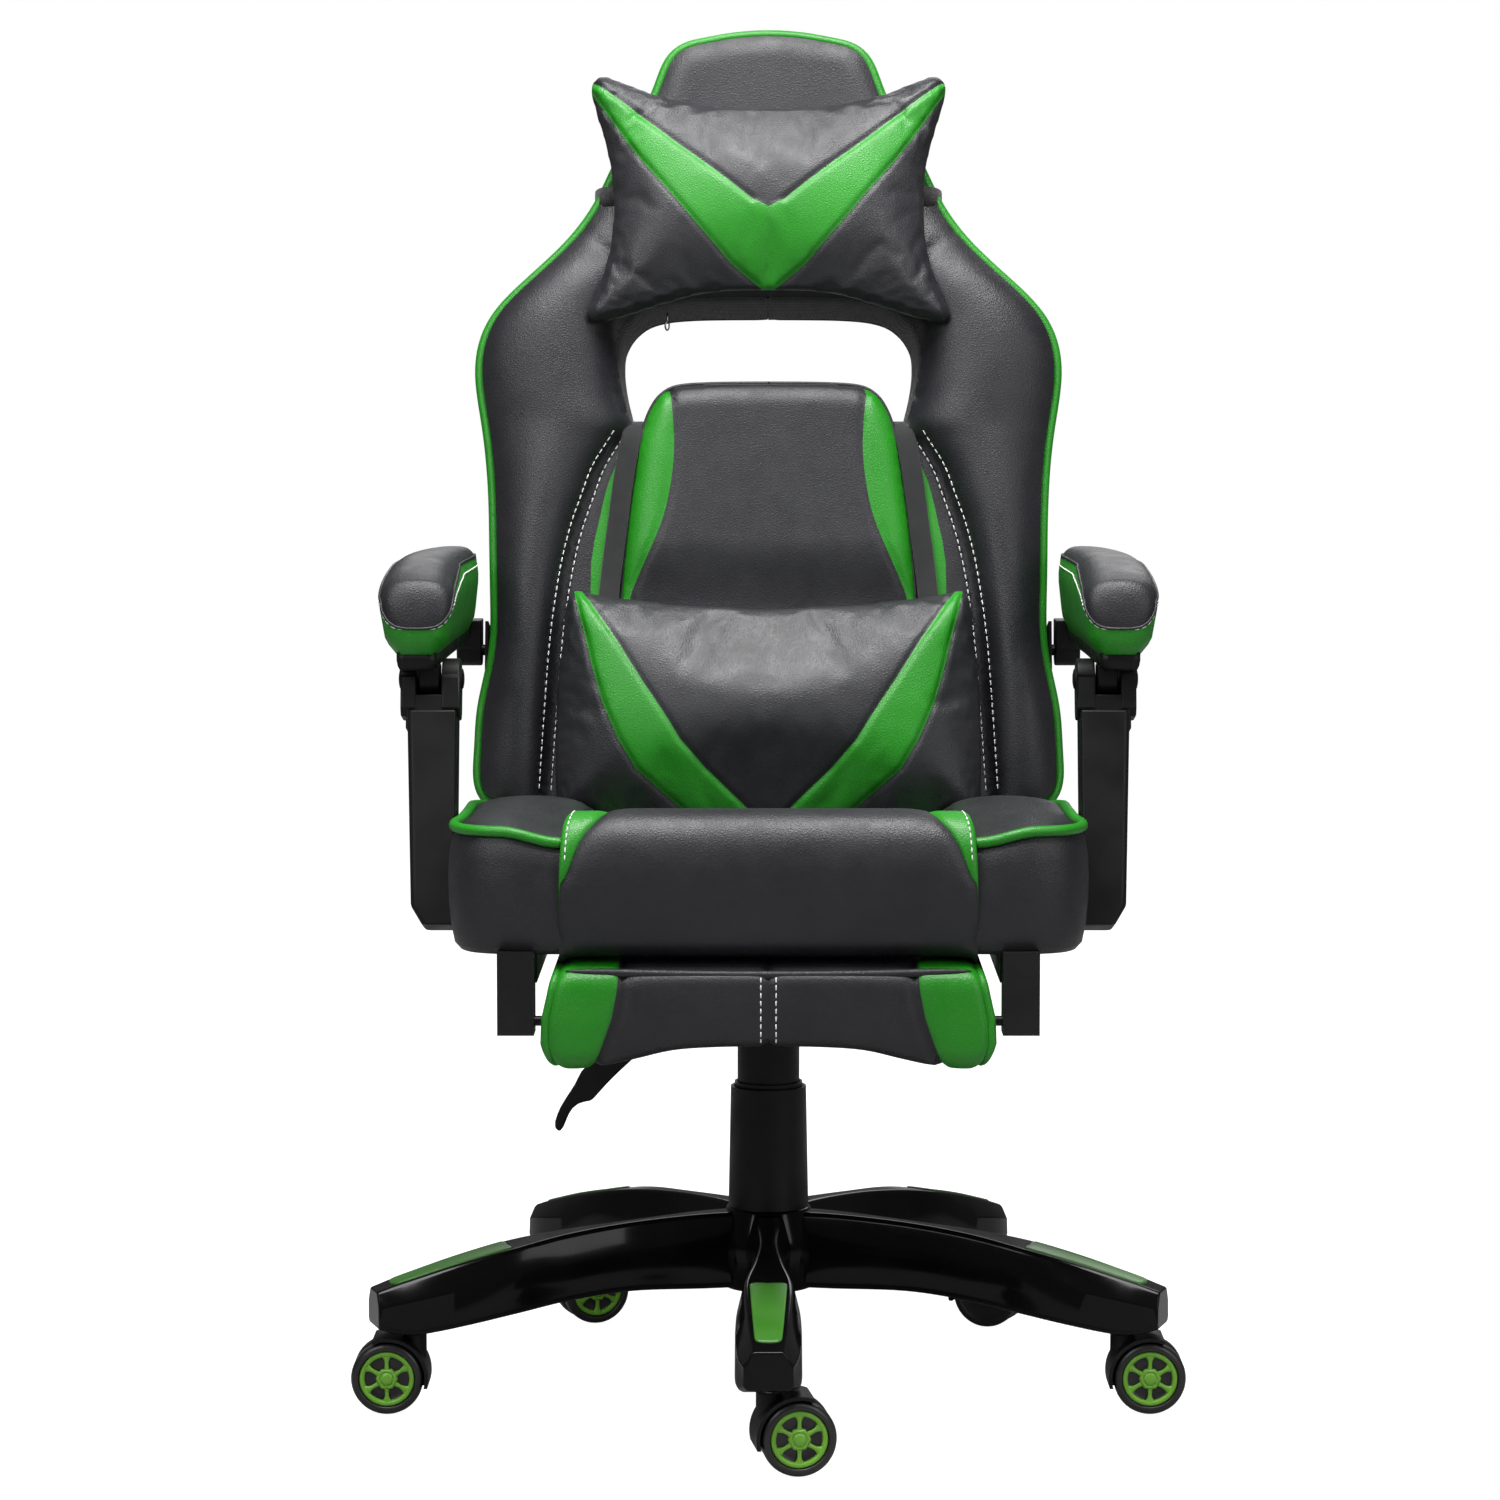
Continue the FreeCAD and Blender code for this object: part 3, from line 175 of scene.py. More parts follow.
class Shape:
    """Points in millimetres and faces, with a material number for each face."""

    def __init__(self):
        self.points = []
        self.faces = []
        self.tags = []

    def add(self, points, faces, tag=0):
        """Takes in points and faces; tag is a number or one for each face."""
        start = len(self.points)
        self.points += [tuple(p) for p in points]
        self.faces += [tuple(start + i for i in face) for face in faces]
        self.tags += list(tag) if hasattr(tag, "__len__") else [tag] * len(faces)
        return self

    def join(self, other):
        """Takes in another shape's points and faces."""
        return self.add(other.points, other.faces)

    def sheet(self, outline, lift, holes=(), lines=(), spacing=5.0, region=None, flip=False):
        """A sheet cut to a flat outline with edges along the lines, raised by lift."""
        rings = [np.array(outline, float)] + [np.array(h, float) for h in holes]
        fixed, edges = [], []
        for ring in rings:
            start = len(fixed)
            fixed += list(ring)
            edges += [(start + i, start + (i + 1) % len(ring)) for i in range(len(ring))]
        for line in lines:
            line = np.array(line, float)
            keep = inside(line, rings[0]) & (distance(line, rings[0], True) > spacing * 0.4)
            for hole in rings[1:]:
                keep &= ~inside(line, hole) & (distance(line, hole, True) > spacing * 0.4)
            for i in np.flatnonzero(keep[:-1] & keep[1:]):
                edges.append((len(fixed), len(fixed) + 1))
                fixed += [line[i], line[i + 1]]
        fixed = np.array(fixed)
        low, high = fixed.min(0), fixed.max(0)
        rows = np.arange(low[1], high[1], spacing * 0.866)
        cols = np.arange(low[0], high[0], spacing)
        fill = np.array([(x + spacing / 2 * (j % 2), y) for j, y in enumerate(rows) for x in cols])
        keep = inside(fill, rings[0])
        for ring in rings:
            keep &= distance(fill, ring, True) > spacing * 0.6
        for hole in rings[1:]:
            keep &= ~inside(fill, hole)
        for line in lines:
            keep &= distance(fill, line) > spacing * 0.6
        cloud = np.vstack([fixed, fill[keep]])
        made = delaunay_2d_cdt(cloud.tolist(), edges, [], 0, 1e-3)
        flat = np.array([tuple(p) for p in made[0]])
        faces = np.array(made[2])
        centre = flat[faces].mean(1)
        keep = inside(centre, rings[0])
        for hole in rings[1:]:
            keep &= ~inside(centre, hole)
        faces, centre = faces[keep], centre[keep]
        points = lift(flat[:, 0], flat[:, 1])
        tags = [0] * len(faces) if region is None else region(centre[:, 0], centre[:, 1])
        turn = faces[:, ::-1] if flip else faces
        return self.add(points, turn.tolist(), np.array(tags, int).tolist())

    def rings(self, rings, closed=True, tag=0, caps=(False, False)):
        """A skin over rings of equal length."""
        count = len(rings[0])
        points = np.vstack(rings)
        last = count if closed else count - 1
        faces, tags = [], []
        for i in range(len(rings) - 1):
            for j in range(last):
                k = (j + 1) % count
                faces.append((i * count + j, i * count + k, (i + 1) * count + k, (i + 1) * count + j))
                tags.append(tag(i, j) if callable(tag) else tag)
        if caps[0]:
            faces.append(tuple(range(count))[::-1])
            tags.append(tags[0])
        if caps[1]:
            faces.append(tuple((len(rings) - 1) * count + j for j in range(count)))
            tags.append(tags[-1])
        return self.add(points, faces, tags)

    def tube(self, path, radius, closed=False, sides=10):
        """A round tube along a path; radius is one number or one for each point."""
        path = np.array(path, float)
        ahead = np.roll(path, -1, 0) if closed else np.vstack([path[1:], path[-1:]])
        behind = np.roll(path, 1, 0) if closed else np.vstack([path[:1], path[:-1]])
        along = ahead - behind
        along /= np.linalg.norm(along, axis=1)[:, None]
        side = np.cross(along[0], (0.31, 0.52, 0.79))
        radii = np.broadcast_to(radius, len(path))
        turns = np.linspace(0, 2 * math.pi, sides, endpoint=False)
        rings = []
        for point, way, size in zip(path, along, radii):
            side = side - way * (side @ way)
            side /= np.linalg.norm(side)
            up = np.cross(way, side)
            rings.append(point + size * (np.cos(turns)[:, None] * side + np.sin(turns)[:, None] * up))
        if closed:
            rings.append(rings[0])
        return self.rings(rings, caps=(not closed, not closed))

    def stitches(self, path, length=4.6, gap=2.0, radius=0.6):
        """A row of separate thread stitches along a path."""
        path = np.array(path, float)
        run = np.r_[0, np.cumsum(np.linalg.norm(np.diff(path, axis=0), axis=1))]
        starts = np.arange(gap, run[-1] - length, length + gap)
        for start in starts:
            places = start + length * np.array([0, 0.12, 0.5, 0.88, 1])
            points = np.column_stack([np.interp(places, run, column) for column in path.T])
            self.tube(points, radius * np.array([0.35, 0.9, 1, 0.9, 0.35]), sides=6)
        return self

    def lathe(self, profile, sides):
        """A shape turned about the upright axis from (radius, height) points."""
        turns = np.linspace(0, 2 * math.pi, sides, endpoint=False)
        rings = [np.column_stack([r * np.cos(turns), r * np.sin(turns), np.full(sides, z)])
                 for r, z in profile]
        return self.rings(rings)

    def moved(self, matrix):
        """The same shape with every point moved by a matrix in millimetres."""
        flat = np.array(self.points) @ np.array(matrix.to_3x3()).T + np.array(matrix.translation)
        self.points = [tuple(p) for p in flat]
        return self


def linked(name, data):
    """A new object in the scene."""
    made = bpy.data.objects.new(name, data)
    bpy.context.scene.collection.objects.link(made)
    return made


def piece(name, shape, body, materials, matrix=None, replaces=(), bevel=0.0):
    """A named object that rides on a body and wears its materials."""
    mesh = bpy.data.meshes.new(name)
    mesh.from_pydata((np.array(shape.points) * MM).tolist(), [], shape.faces)
    mesh.validate()
    for material in materials if isinstance(materials, (list, tuple)) else [materials]:
        mesh.materials.append(material)
    for face, tag in zip(mesh.polygons, shape.tags):
        face.material_index = tag
        face.use_smooth = True
    made = linked(name, mesh)
    if matrix is not None:
        made.matrix_world = matrix
    if bevel:
        rim = made.modifiers.new("rounded_edges", "BEVEL")
        rim.width = bevel * MM
        rim.segments = 3
        rim.limit_method = "ANGLE"
        rim.angle_limit = math.radians(28)
        rim.harden_normals = True
    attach(made, body)
    if replaces:
        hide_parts(*replaces)
    return made


# ---------------------------------------------------------------- materials

class Paint:
    """A node material in object coordinates, in metres."""

    def __init__(self, name, **fixed):
        self.material = bpy.data.materials.new(name)
        self.material.use_nodes = True
        self.tree = self.material.node_tree
        self.shader = self.tree.nodes["Principled BSDF"]
        for socket, value in fixed.items():
            self.shader.inputs[socket.replace("_", " ")].default_value = value
        self.place = self.add("ShaderNodeTexCoord").outputs["Object"]

    def add(self, kind, inputs=None, **settings):
        """A new node with its settings and inputs."""
        node = self.tree.nodes.new(kind)
        for key, value in settings.items():
            setattr(node, key, value)
        for key, value in (inputs or {}).items():
            self.feed(node.inputs[key], value)
        return node

    def feed(self, socket, value):
        """Links a socket to an output, or sets its value."""
        if isinstance(value, bpy.types.NodeSocket):
            self.tree.links.new(value, socket)
        else:
            socket.default_value = value

    def noise(self, scale, detail=2.0, rough=0.5, stretch=None):
        """Soft noise, stretched along the axes where asked."""
        place = self.place
        if stretch:
            place = self.add("ShaderNodeMapping", {"Vector": place, "Scale": stretch}).outputs[0]
        return self.add("ShaderNodeTexNoise", {"Vector": place, "Scale": scale, "Detail": detail,
                                               "Roughness": rough}).outputs["Fac"]

    def cells(self, scale):
        """How far a point is from the edge of its cell."""
        return self.add("ShaderNodeTexVoronoi", {"Vector": self.place, "Scale": scale},
                        feature="DISTANCE_TO_EDGE").outputs["Distance"]

    def spread(self, value, low, high, start=0.3, end=0.7):
        """Maps start to end onto low to high."""
        return self.add("ShaderNodeMapRange", {"Value": value, "From Min": start, "From Max": end,
                                               "To Min": low, "To Max": high}).outputs[0]

    def math(self, operation, first, second=0.0):
        """One sum on one or two values."""
        return self.add("ShaderNodeMath", {0: first, 1: second}, operation=operation).outputs[0]

    def mix(self, factor, first, second):
        """A colour between two."""
        node = self.add("ShaderNodeMix", data_type="RGBA")
        self.feed(node.inputs[0], factor)
        self.feed(node.inputs[6], first)
        self.feed(node.inputs[7], second)
        return node.outputs[2]

    def bump(self, height, strength, depth, under=None):
        """A bumped normal, over another where given."""
        node = self.add("ShaderNodeBump", {"Height": height, "Strength": strength,
                                           "Distance": depth})
        if under is not None:
            self.feed(node.inputs["Normal"], under)
        return node.outputs[0]

    def wear(self, colour=None, roughness=None, normal=None):
        """Links the sockets that vary and hands back the material."""
        for key, value in (("Base Color", colour), ("Roughness", roughness), ("Normal", normal)):
            if value is not None:
                self.feed(self.shader.inputs[key], value)
        return self.material


def tint(red, green, blue):
    """A colour with full alpha."""
    return (red, green, blue, 1.0)


PEBBLES, PEBBLE_DEPTH = 430.0, 0.0006


def hide_bump(paint):
    """Pebbled grain with finer pores over slow, soft waves."""
    waves = paint.bump(paint.noise(14.0, 2.0), 0.18, 0.004)
    pebbles = paint.bump(paint.cells(PEBBLES), 0.6, PEBBLE_DEPTH, waves)
    return paint.bump(paint.noise(PEBBLES * 3.1, 2.0), 0.2, PEBBLE_DEPTH * 0.6, pebbles)


def leather(name, deep, light, rough=(0.40, 0.52)):
    """Coated leather: grain, slow shade changes and uneven gloss."""
    paint = Paint(name, Specular_IOR_Level=0.42)
    shade = paint.spread(paint.noise(11.0, 3.0), 0.0, 1.0)
    pores = paint.spread(paint.cells(PEBBLES), 0.72, 1.0, 0.0, 0.22)
    colour = paint.mix(shade, tint(*deep), tint(*light))
    colour = paint.mix(pores, tint(*[c * 0.55 for c in deep]), colour)
    gloss = paint.spread(paint.noise(46.0, 3.0), *rough)
    return paint.wear(colour, gloss, hide_bump(paint))


def banded_leather(name, ground, band, inner, outer, low, high, reach):
    """Two leathers parted along curves: the band lies between them on both sides."""
    paint = Paint(name, Specular_IOR_Level=0.5)
    split = paint.add("ShaderNodeSeparateXYZ", {0: paint.place})
    across = paint.math("ABSOLUTE", split.outputs[0])
    height = paint.spread(split.outputs[2], 0.0, 1.0, low * MM, high * MM)
    edges = []
    for limit in (inner, outer):
        node = paint.add("ShaderNodeFloatCurve", {"Value": height})
        points = node.mapping.curves[0].points
        knots = [rise for rise, _ in limit if low < rise < high]
        for point, rise in zip(points, (low, high)):
            point.location = ((rise - low) / (high - low), between(limit)(rise) / reach)
        for rise in knots:
            points.new((rise - low) / (high - low), between(limit)(rise) / reach)
        for point in points:
            point.handle_type = "VECTOR"
        node.mapping.update()
        edges.append(paint.math("MULTIPLY", node.outputs[0], reach * MM))
    past = paint.math("GREATER_THAN", across, edges[0])
    before = paint.math("LESS_THAN", across, edges[1])
    mask = paint.math("MULTIPLY", past, before)
    shade = paint.spread(paint.noise(11.0, 3.0), 0.0, 1.0)
    dark = paint.mix(shade, tint(*ground[0]), tint(*ground[1]))
    vivid = paint.mix(shade, tint(*band[0]), tint(*band[1]))
    colour = paint.mix(mask, dark, vivid)
    gloss = paint.spread(paint.noise(46.0, 3.0), 0.40, 0.52)
    return paint.wear(colour, gloss, hide_bump(paint))


def plastic(name, deep, light, rough, texture, depth, coat=0.0, level=0.5):
    """Moulded plastic with a fine spark-eroded texture and faint flow marks."""
    paint = Paint(name, Specular_IOR_Level=level, Coat_Weight=coat, Coat_Roughness=0.05)
    shade = paint.spread(paint.noise(9.0, 2.0), 0.0, 1.0)
    colour = paint.mix(shade, tint(*deep), tint(*light))
    gloss = paint.spread(paint.noise(34.0, 3.0), *rough)
    flow = paint.bump(paint.noise(7.0, 1.0), 0.06, 0.002)
    return paint.wear(colour, gloss, paint.bump(paint.noise(texture, 3.0, 0.6), 0.25, depth, flow))


def metal(name, deep, light, rough, grain):
    """Brushed or painted steel."""
    paint = Paint(name, Metallic=1.0, Specular_IOR_Level=0.5)
    streaks = paint.noise(grain, 3.0, 0.6, (1.0, 8.0, 1.0))
    colour = paint.mix(paint.spread(streaks, 0.0, 1.0), tint(*deep), tint(*light))
    return paint.wear(colour, paint.spread(paint.noise(40.0), *rough),
                      paint.bump(streaks, 0.08, 0.0002))


def weave(name, deep, light, pitch, depth):
    """A woven or knitted cloth: threads that pass over and under each other."""
    paint = Paint(name, Specular_IOR_Level=0.35, Sheen_Weight=0.25, Sheen_Roughness=0.5)
    turned = paint.add("ShaderNodeMapping", {"Vector": paint.place,
                                             "Rotation": (0.0, math.radians(45), 0.0)}).outputs[0]
    rows = [paint.add("ShaderNodeTexWave", {"Vector": turned, "Scale": pitch, "Distortion": 0.4,
                                            "Detail": 1.0}, bands_direction=way).outputs["Fac"]
            for way in ("X", "Z")]
    height = paint.math("MULTIPLY", rows[0], rows[1])
    colour = paint.mix(height, tint(*deep), tint(*light))
    gloss = paint.spread(paint.noise(60.0), 0.77, 0.93)
    return paint.wear(colour, gloss, paint.bump(height, 0.8, depth))


def wood(name):
    """Birch ply seen along its face."""
    paint = Paint(name, Specular_IOR_Level=0.3)
    streaks = paint.noise(30.0, 4.0, 0.6, (1.0, 12.0, 6.0))
    colour = paint.mix(paint.spread(streaks, 0.0, 1.0), tint(0.42, 0.28, 0.15), tint(0.6, 0.44, 0.26))
    return paint.wear(colour, paint.spread(paint.noise(50.0), 0.55, 0.7),
                      paint.bump(streaks, 0.2, 0.0004))


def thread(name):
    """Twisted white sewing thread."""
    paint = Paint(name, Specular_IOR_Level=0.4, Sheen_Weight=0.3)
    twist = paint.noise(1500.0, 1.0, 0.5, (1.0, 1.0, 3.0))
    colour = paint.mix(paint.spread(twist, 0.0, 1.0), tint(0.62, 0.62, 0.6), tint(0.9, 0.9, 0.88))
    return paint.wear(colour, paint.spread(twist, 0.55, 0.75), paint.bump(twist, 0.4, 0.0002))


BLACK = ((0.010, 0.010, 0.0125), (0.017, 0.017, 0.0205))
GREEN = ((0.010, 0.190, 0.006), (0.015, 0.235, 0.009))

black_leather = leather("black_leather", *BLACK)
green_leather = leather("green_leather", *GREEN, rough=(0.36, 0.48))
white_thread = thread("white_thread")
mesh_cloth = weave("mesh_cloth", (0.001, 0.001, 0.001), (0.012, 0.010, 0.010), 330.0, 0.0008)
webbing = weave("webbing", (0.008, 0.008, 0.009), (0.026, 0.026, 0.029), 420.0, 0.0005)
lining = weave("lining", (0.010, 0.010, 0.011), (0.020, 0.020, 0.022), 520.0, 0.0003)
black_plastic = plastic("black_plastic", (0.0035, 0.003, 0.0035), (0.006, 0.0055, 0.006),
                        (0.40, 0.54), 1400.0, 0.00022, level=0.22)
gloss_nylon = plastic("gloss_nylon", (0.002, 0.002, 0.002), (0.004, 0.004, 0.004),
                      (0.10, 0.18), 500.0, 0.00003, coat=0.08, level=0.12)
green_plastic = plastic("green_plastic", (0.12, 0.33, 0.020), (0.15, 0.38, 0.028),
                        (0.30, 0.42), 900.0, 0.0001)
insert_plastic = plastic("insert_plastic", (0.026, 0.13, 0.007), (0.034, 0.16, 0.010),
                         (0.30, 0.42), 900.0, 0.00012)
tread = plastic("tread", (0.006, 0.006, 0.006), (0.012, 0.012, 0.012), (0.30, 0.45), 700.0, 0.0001)
painted_steel = plastic("painted_steel", (0.004, 0.004, 0.004), (0.008, 0.008, 0.008),
                        (0.34, 0.5), 1100.0, 0.00018, level=0.3)
bright_steel = metal("bright_steel", (0.42, 0.42, 0.43), (0.6, 0.6, 0.61), (0.22, 0.36), 240.0)
plywood = wood("plywood")


# ---------------------------------------------------------------- backrest

def back_outline():
    """The outer edge of the CAD backrest's front face, as (across, rise) points."""
    mesh = frame["nodes"]["back_cushion"].data
    to_back = BACK.inverted()
    points = [to_back @ v.co / MM for v in mesh.vertices]
    keys = [(round(p.x, 1), round(p.z, 1)) for p in points]
    seen = {}
    for face in mesh.polygons:
        if all(abs(points[i].y) < 0.5 for i in face.vertices):
            around = list(face.vertices)
            for a, b in zip(around, around[1:] + around[:1]):
                if keys[a] != keys[b]:
                    edge = frozenset((keys[a], keys[b]))
                    seen[edge] = seen.get(edge, 0) + 1
    ways = {}
    for edge, uses in seen.items():
        if uses == 1:
            a, b = edge
            ways.setdefault(a, []).append(b)
            ways.setdefault(b, []).append(a)
    start = max(ways, key=lambda key: key[1])
    loop, last = [start], None
    while True:
        here = loop[-1]
        onward = [key for key in ways[here] if key != last]
        last = here
        if onward[0] == start and len(loop) > 2:
            break
        loop.append(onward[0])
    ring = resample(loop + loop[:1], 5.0, closed=True)
    for _ in range(3):
        ring = (np.roll(ring, 1, 0) + 2 * ring + np.roll(ring, -1, 0)) / 4
    return ring


outline = back_outline()
right_edge = outline[outline[:, 0] > 0]
right_edge = right_edge[np.argsort(right_edge[:, 1])]


def outer_half(rise):
    """Half the width of the backrest at a rise."""
    return np.interp(rise, right_edge[:, 1], right_edge[:, 0])


WINDOW = mirrored([(0.01, 439), (70, 438), (104, 433), (123, 421), (134, 403), (136, 384),
                   (134, 364), (130, 345), (124, 326), (112, 318), (60, 318)])
window = spline(WINDOW, 5.0, closed=True)
window_right = window[window[:, 0] > -1]

# the seam between each side bolster and the middle, as (rise, half-width)
SEAM = [(-20, 199), (60, 194), (127, 189), (186, 181), (226, 172), (253, 163), (281, 153),
        (305, 139), (322, 128)]
seam_half = curve(SEAM)
# where each bolster starts to rise, on past the window to the shoulders
bolster_start = curve(SEAM + [(350, 136), (390, 142), (425, 139), (470, 112), (520, 80), (700, 60)])
bolster_high = curve([(-20, 22), (30, 33), (110, 40), (240, 41), (330, 38), (390, 32), (440, 23),
                      (490, 10), (540, 3), (700, 0)])
strip_inner = curve([(-20, 140), (170, 139), (220, 135), (270, 128), (300, 124)])
strip_outer = curve([(-20, 160), (180, 159), (197, 158), (215, 156), (233, 152), (252, 148),
                     (270, 143), (292, 134), (300, 130)])


SHOULDER_SEAM = np.array([(170, 502), (153, 486), (132, 468)], float)


def cover_height(across, rise):
    """How far the front cover stands out of the backrest's front plane."""
    across = np.abs(across)
    points = np.column_stack([across, rise])
    edge = distance(points, right_edge)
    hole = distance(points, window_right)
    reach = np.clip((across - bolster_start(rise)) / (outer_half(rise) - bolster_start(rise)), 0, 1)
    bump = np.sin(math.pi * reach ** 0.85) ** 0.62
    high = 0.86 * bolster_high(rise) * bump
    flat = 11 * ease(rise, 300, 460) + 3
    base = flat * rounded(np.minimum(edge, hole + 2), 26)
    joint = 3.0 * crease(np.abs(across - seam_half(rise)), 4.0) * (rise < 322)
    shoulder = 2.4 * crease(distance(points, SHOULDER_SEAM), 3.0)
    return base + high - joint - shoulder


def on_cover(path, lift):
    """(across, rise) points laid on the front cover, raised by lift."""
    path = np.array(path, float)
    return upright(path, -cover_height(*path.T) - lift)


def cover_region(across, rise):
    """1 in the green strips beside the shield, 0 elsewhere."""
    across = np.abs(across)
    strip = (rise < 294) & (across > strip_inner(rise)) & (across < strip_outer(rise))
    return strip.astype(int)


def seam_lines(limit, low, high, step=5.0):
    """One line on each side along a half-width limit."""
    rises = np.arange(low, high, step)
    return [np.column_stack([side * limit(rises), rises]) for _, side in SIDES]


def back_front():
    """The front cover: bolsters, shoulders and the green strips."""
    lines = seam_lines(seam_half, -10, 322) + seam_lines(strip_outer, -10, 296)
    lines += [SHOULDER_SEAM, SHOULDER_SEAM * (-1, 1)]
    shape = Shape().sheet(
        offset(outline, 6.0),
        lambda x, s: np.column_stack([x, -cover_height(x, s), s]),
        holes=[window], lines=lines, spacing=5.0, region=cover_region)
    return piece("back_cover_front", shape, "back",
                 [black_leather, green_leather], BACK, ["back_cushion", "back_wings"])


def back_sides():
    """The boxing round the edge, from the front piping to the rear cover."""
    profile = [(7.0, 0.5), (4.5, 4.0), (2.5, 10.0), (0.5, 22.0), (-0.5, 34.0), (0.0, 46.0),
               (1.5, 55.0), (4.0, 60.0)]
    shape = Shape().rings(sleeve(outline, profile, upright))
    piece("back_boxing", shape, "back", black_leather, BACK)


window_rear = offset(window, 5.0)
rear_seam = curve([(-20, 178), (120, 172), (290, 158), (430, 162), (520, 118), (600, 66), (680, 30)])


def rear_height(across, rise):
    """How far back the rear cover lies."""
    points = np.column_stack([np.abs(across), rise])
    edge = distance(points, right_edge)
    hole = distance(points, window_right)
    puff = 6.5 * rounded(np.minimum(edge - 4, hole), 22)
    seam = 2.2 * crease(np.abs(np.abs(across) - rear_seam(rise)), 3.0)
    cross = 2.2 * crease(np.abs(rise - 285), 3.0) * (np.abs(across) < rear_seam(rise))
    return 59.5 + puff - seam - cross


def back_rear():
    """The rear cover, with its seams."""
    shape = Shape().sheet(
        offset(outline, 4.0),
        lambda x, s: np.column_stack([x, rear_height(x, s), s]),
        holes=[window_rear], lines=seam_lines(rear_seam, -10, 660), spacing=6.0, flip=True)
    return piece("back_cover_rear", shape, "back", black_leather, BACK,
                 ["back_shell"])


def window_lining():
    """Knitted mesh round the inside of the window."""
    rings = []
    for gap, depth in ((-1.5, -3.0), (0.5, -1.0), (2.0, 8.0), (3.5, 24.0), (4.5, 44.0), (5.0, 59.0)):
        flat = offset(window, gap)
        near = np.maximum(-cover_height(*flat.T), -6.0) + 3 + depth
        rings.append(upright(flat, near if depth < 0 else depth))
    shape = Shape().rings(rings)
    return piece("window_lining", shape, "back", mesh_cloth, BACK)


def back_piping():
    """The green piping where the front cover meets the boxing."""
    shape = Shape().tube(upright(offset(outline, 3.4), -3.5), 4.8, closed=True, sides=14)
    return piece("back_piping", shape, "back", green_leather, BACK)


def bolster_stitching():
    """Two rows of stitches along each bolster seam."""
    shape = Shape()
    for _, side in SIDES:
        for gap in (-5.0, 5.0):
            rises = np.arange(-12, 319, 4.0)
            half = seam_half(rises) + gap
            shape.stitches(on_cover(np.column_stack([side * half, rises]), 0.2))
    return piece("bolster_stitching", shape, "back", white_thread, BACK)


def zip_puller():
    """The puller of the cover's zip, hanging in the window's top edge."""
    shape = Shape().tube([(-92, 30, 437), (-92, 27, 430), (-92, 26, 424)], 0.9, sides=8)
    ring = [(-92 + 1.8 * math.sin(t), 26, 420 + 4.2 * math.cos(t))
            for t in np.linspace(0, 2 * math.pi, 20, endpoint=False)]
    shape.tube(ring, 0.8, closed=True, sides=8)
    return piece("zip_puller", shape, "back", bright_steel, BACK)


back_front()
zip_puller()
back_sides()
back_rear()
window_lining()
back_piping()
bolster_stitching()


# ---------------------------------------------------------------- centre shield

SHIELD = mirrored([(0.01, 360), (50, 359.5), (82, 357), (97, 349), (106, 336), (112, 320), (117, 300),
                   (121, 270), (125, 240), (128, 210), (131, 175), (134, 120), (134, 40),
                   (128, 2), (90, -6)])
shield_edge = spline(SHIELD, 4.0, closed=True)
wedge_half = curve([(-10, 128), (120, 128), (160, 124), (178, 118), (196, 110), (214, 102),
                    (232, 95), (251, 90), (269, 87), (287, 85), (305, 84.5), (323, 85.5), (340, 87),
                    (356, 89)])


def shield_height(across, rise):
    """How far the shield stands out of the backrest's front plane."""
    points = np.column_stack([across, rise])
    edge = distance(points, shield_edge, True)
    full = 8 + 9 * ease(rise, 150, 215)
    seam = 2.2 * crease(np.abs(np.abs(across) - wedge_half(rise)), 3.2)
    return 3 + full * rounded(edge, 24) - seam


def shield():
    """The pad in the middle of the backrest, from its face round to its rear."""
    shape = Shape().sheet(
        shield_edge, lambda x, s: np.column_stack([x, -shield_height(x, s), s]),
        lines=seam_lines(wedge_half, 0, 352, 4.0), spacing=4.0,
        region=lambda x, s: np.abs(x) > wedge_half(s))
    profile = ((0.0, -3.0), (-1.0, 0.0), (-1.0, 6.0), (-0.5, 30.0), (1.0, 50.0), (6.0, 57.0),
               (16.0, 60.0))
    shape.rings(sleeve(shield_edge, profile, upright))
    shape.sheet(offset(shield_edge, 16.0), lambda x, s: upright(np.column_stack([x, s]), 60.0),
                spacing=14.0, flip=True)
    return piece("centre_shield", shape, "back", [black_leather, green_leather],
                 BACK, ["centre_pad"])


def shield_welt():
    """A thin welt round the shield."""
    shape = Shape().tube(upright(shield_edge, -3.0), 1.7, closed=True, sides=8)
    return piece("shield_welt", shape, "back", black_leather, BACK)


def straps():
    """Elastic straps of the lumbar pillow, up over the window's sill and down behind."""
    half_width = 9.0
    shape = Shape()
    for _, side in SIDES:
        route = spline([(146, -20, 120), (141, -10.0, 180), (135, -8.5, 230), (130, -8.5, 270),
                        (125, -7.5, 300), (121, -4.0, 317), (120, 6.0, 326), (120, 30.0, 327),
                        (120, 58.0, 326), (121, 68.0, 318), (124, 70.0, 280), (132, 70.5, 150),
                        (138, 70.0, 10), (139, 66.0, -12)], 6.0)
        route[:, 0] *= side
        ahead = np.gradient(route, axis=0)
        ahead /= np.linalg.norm(ahead, axis=1)[:, None]
        wide = np.cross(ahead, np.cross((1.0, 0, 0), ahead))
        wide /= np.linalg.norm(wide, axis=1)[:, None]
        normal = np.cross(ahead, wide)
        rings = []
        for a, b in ((-1, -0.7), (-0.92, -1), (0.92, -1), (1, -0.7), (1, 0.7), (0.92, 1), (-0.92, 1),
                     (-1, 0.7)):
            rings.append(route + wide * half_width * a + normal * 0.8 * b)
        rings = np.array(rings).transpose(1, 0, 2)
        shape.rings(list(rings), caps=(True, True))
    return piece("lumbar_straps", shape, "back", webbing, BACK)


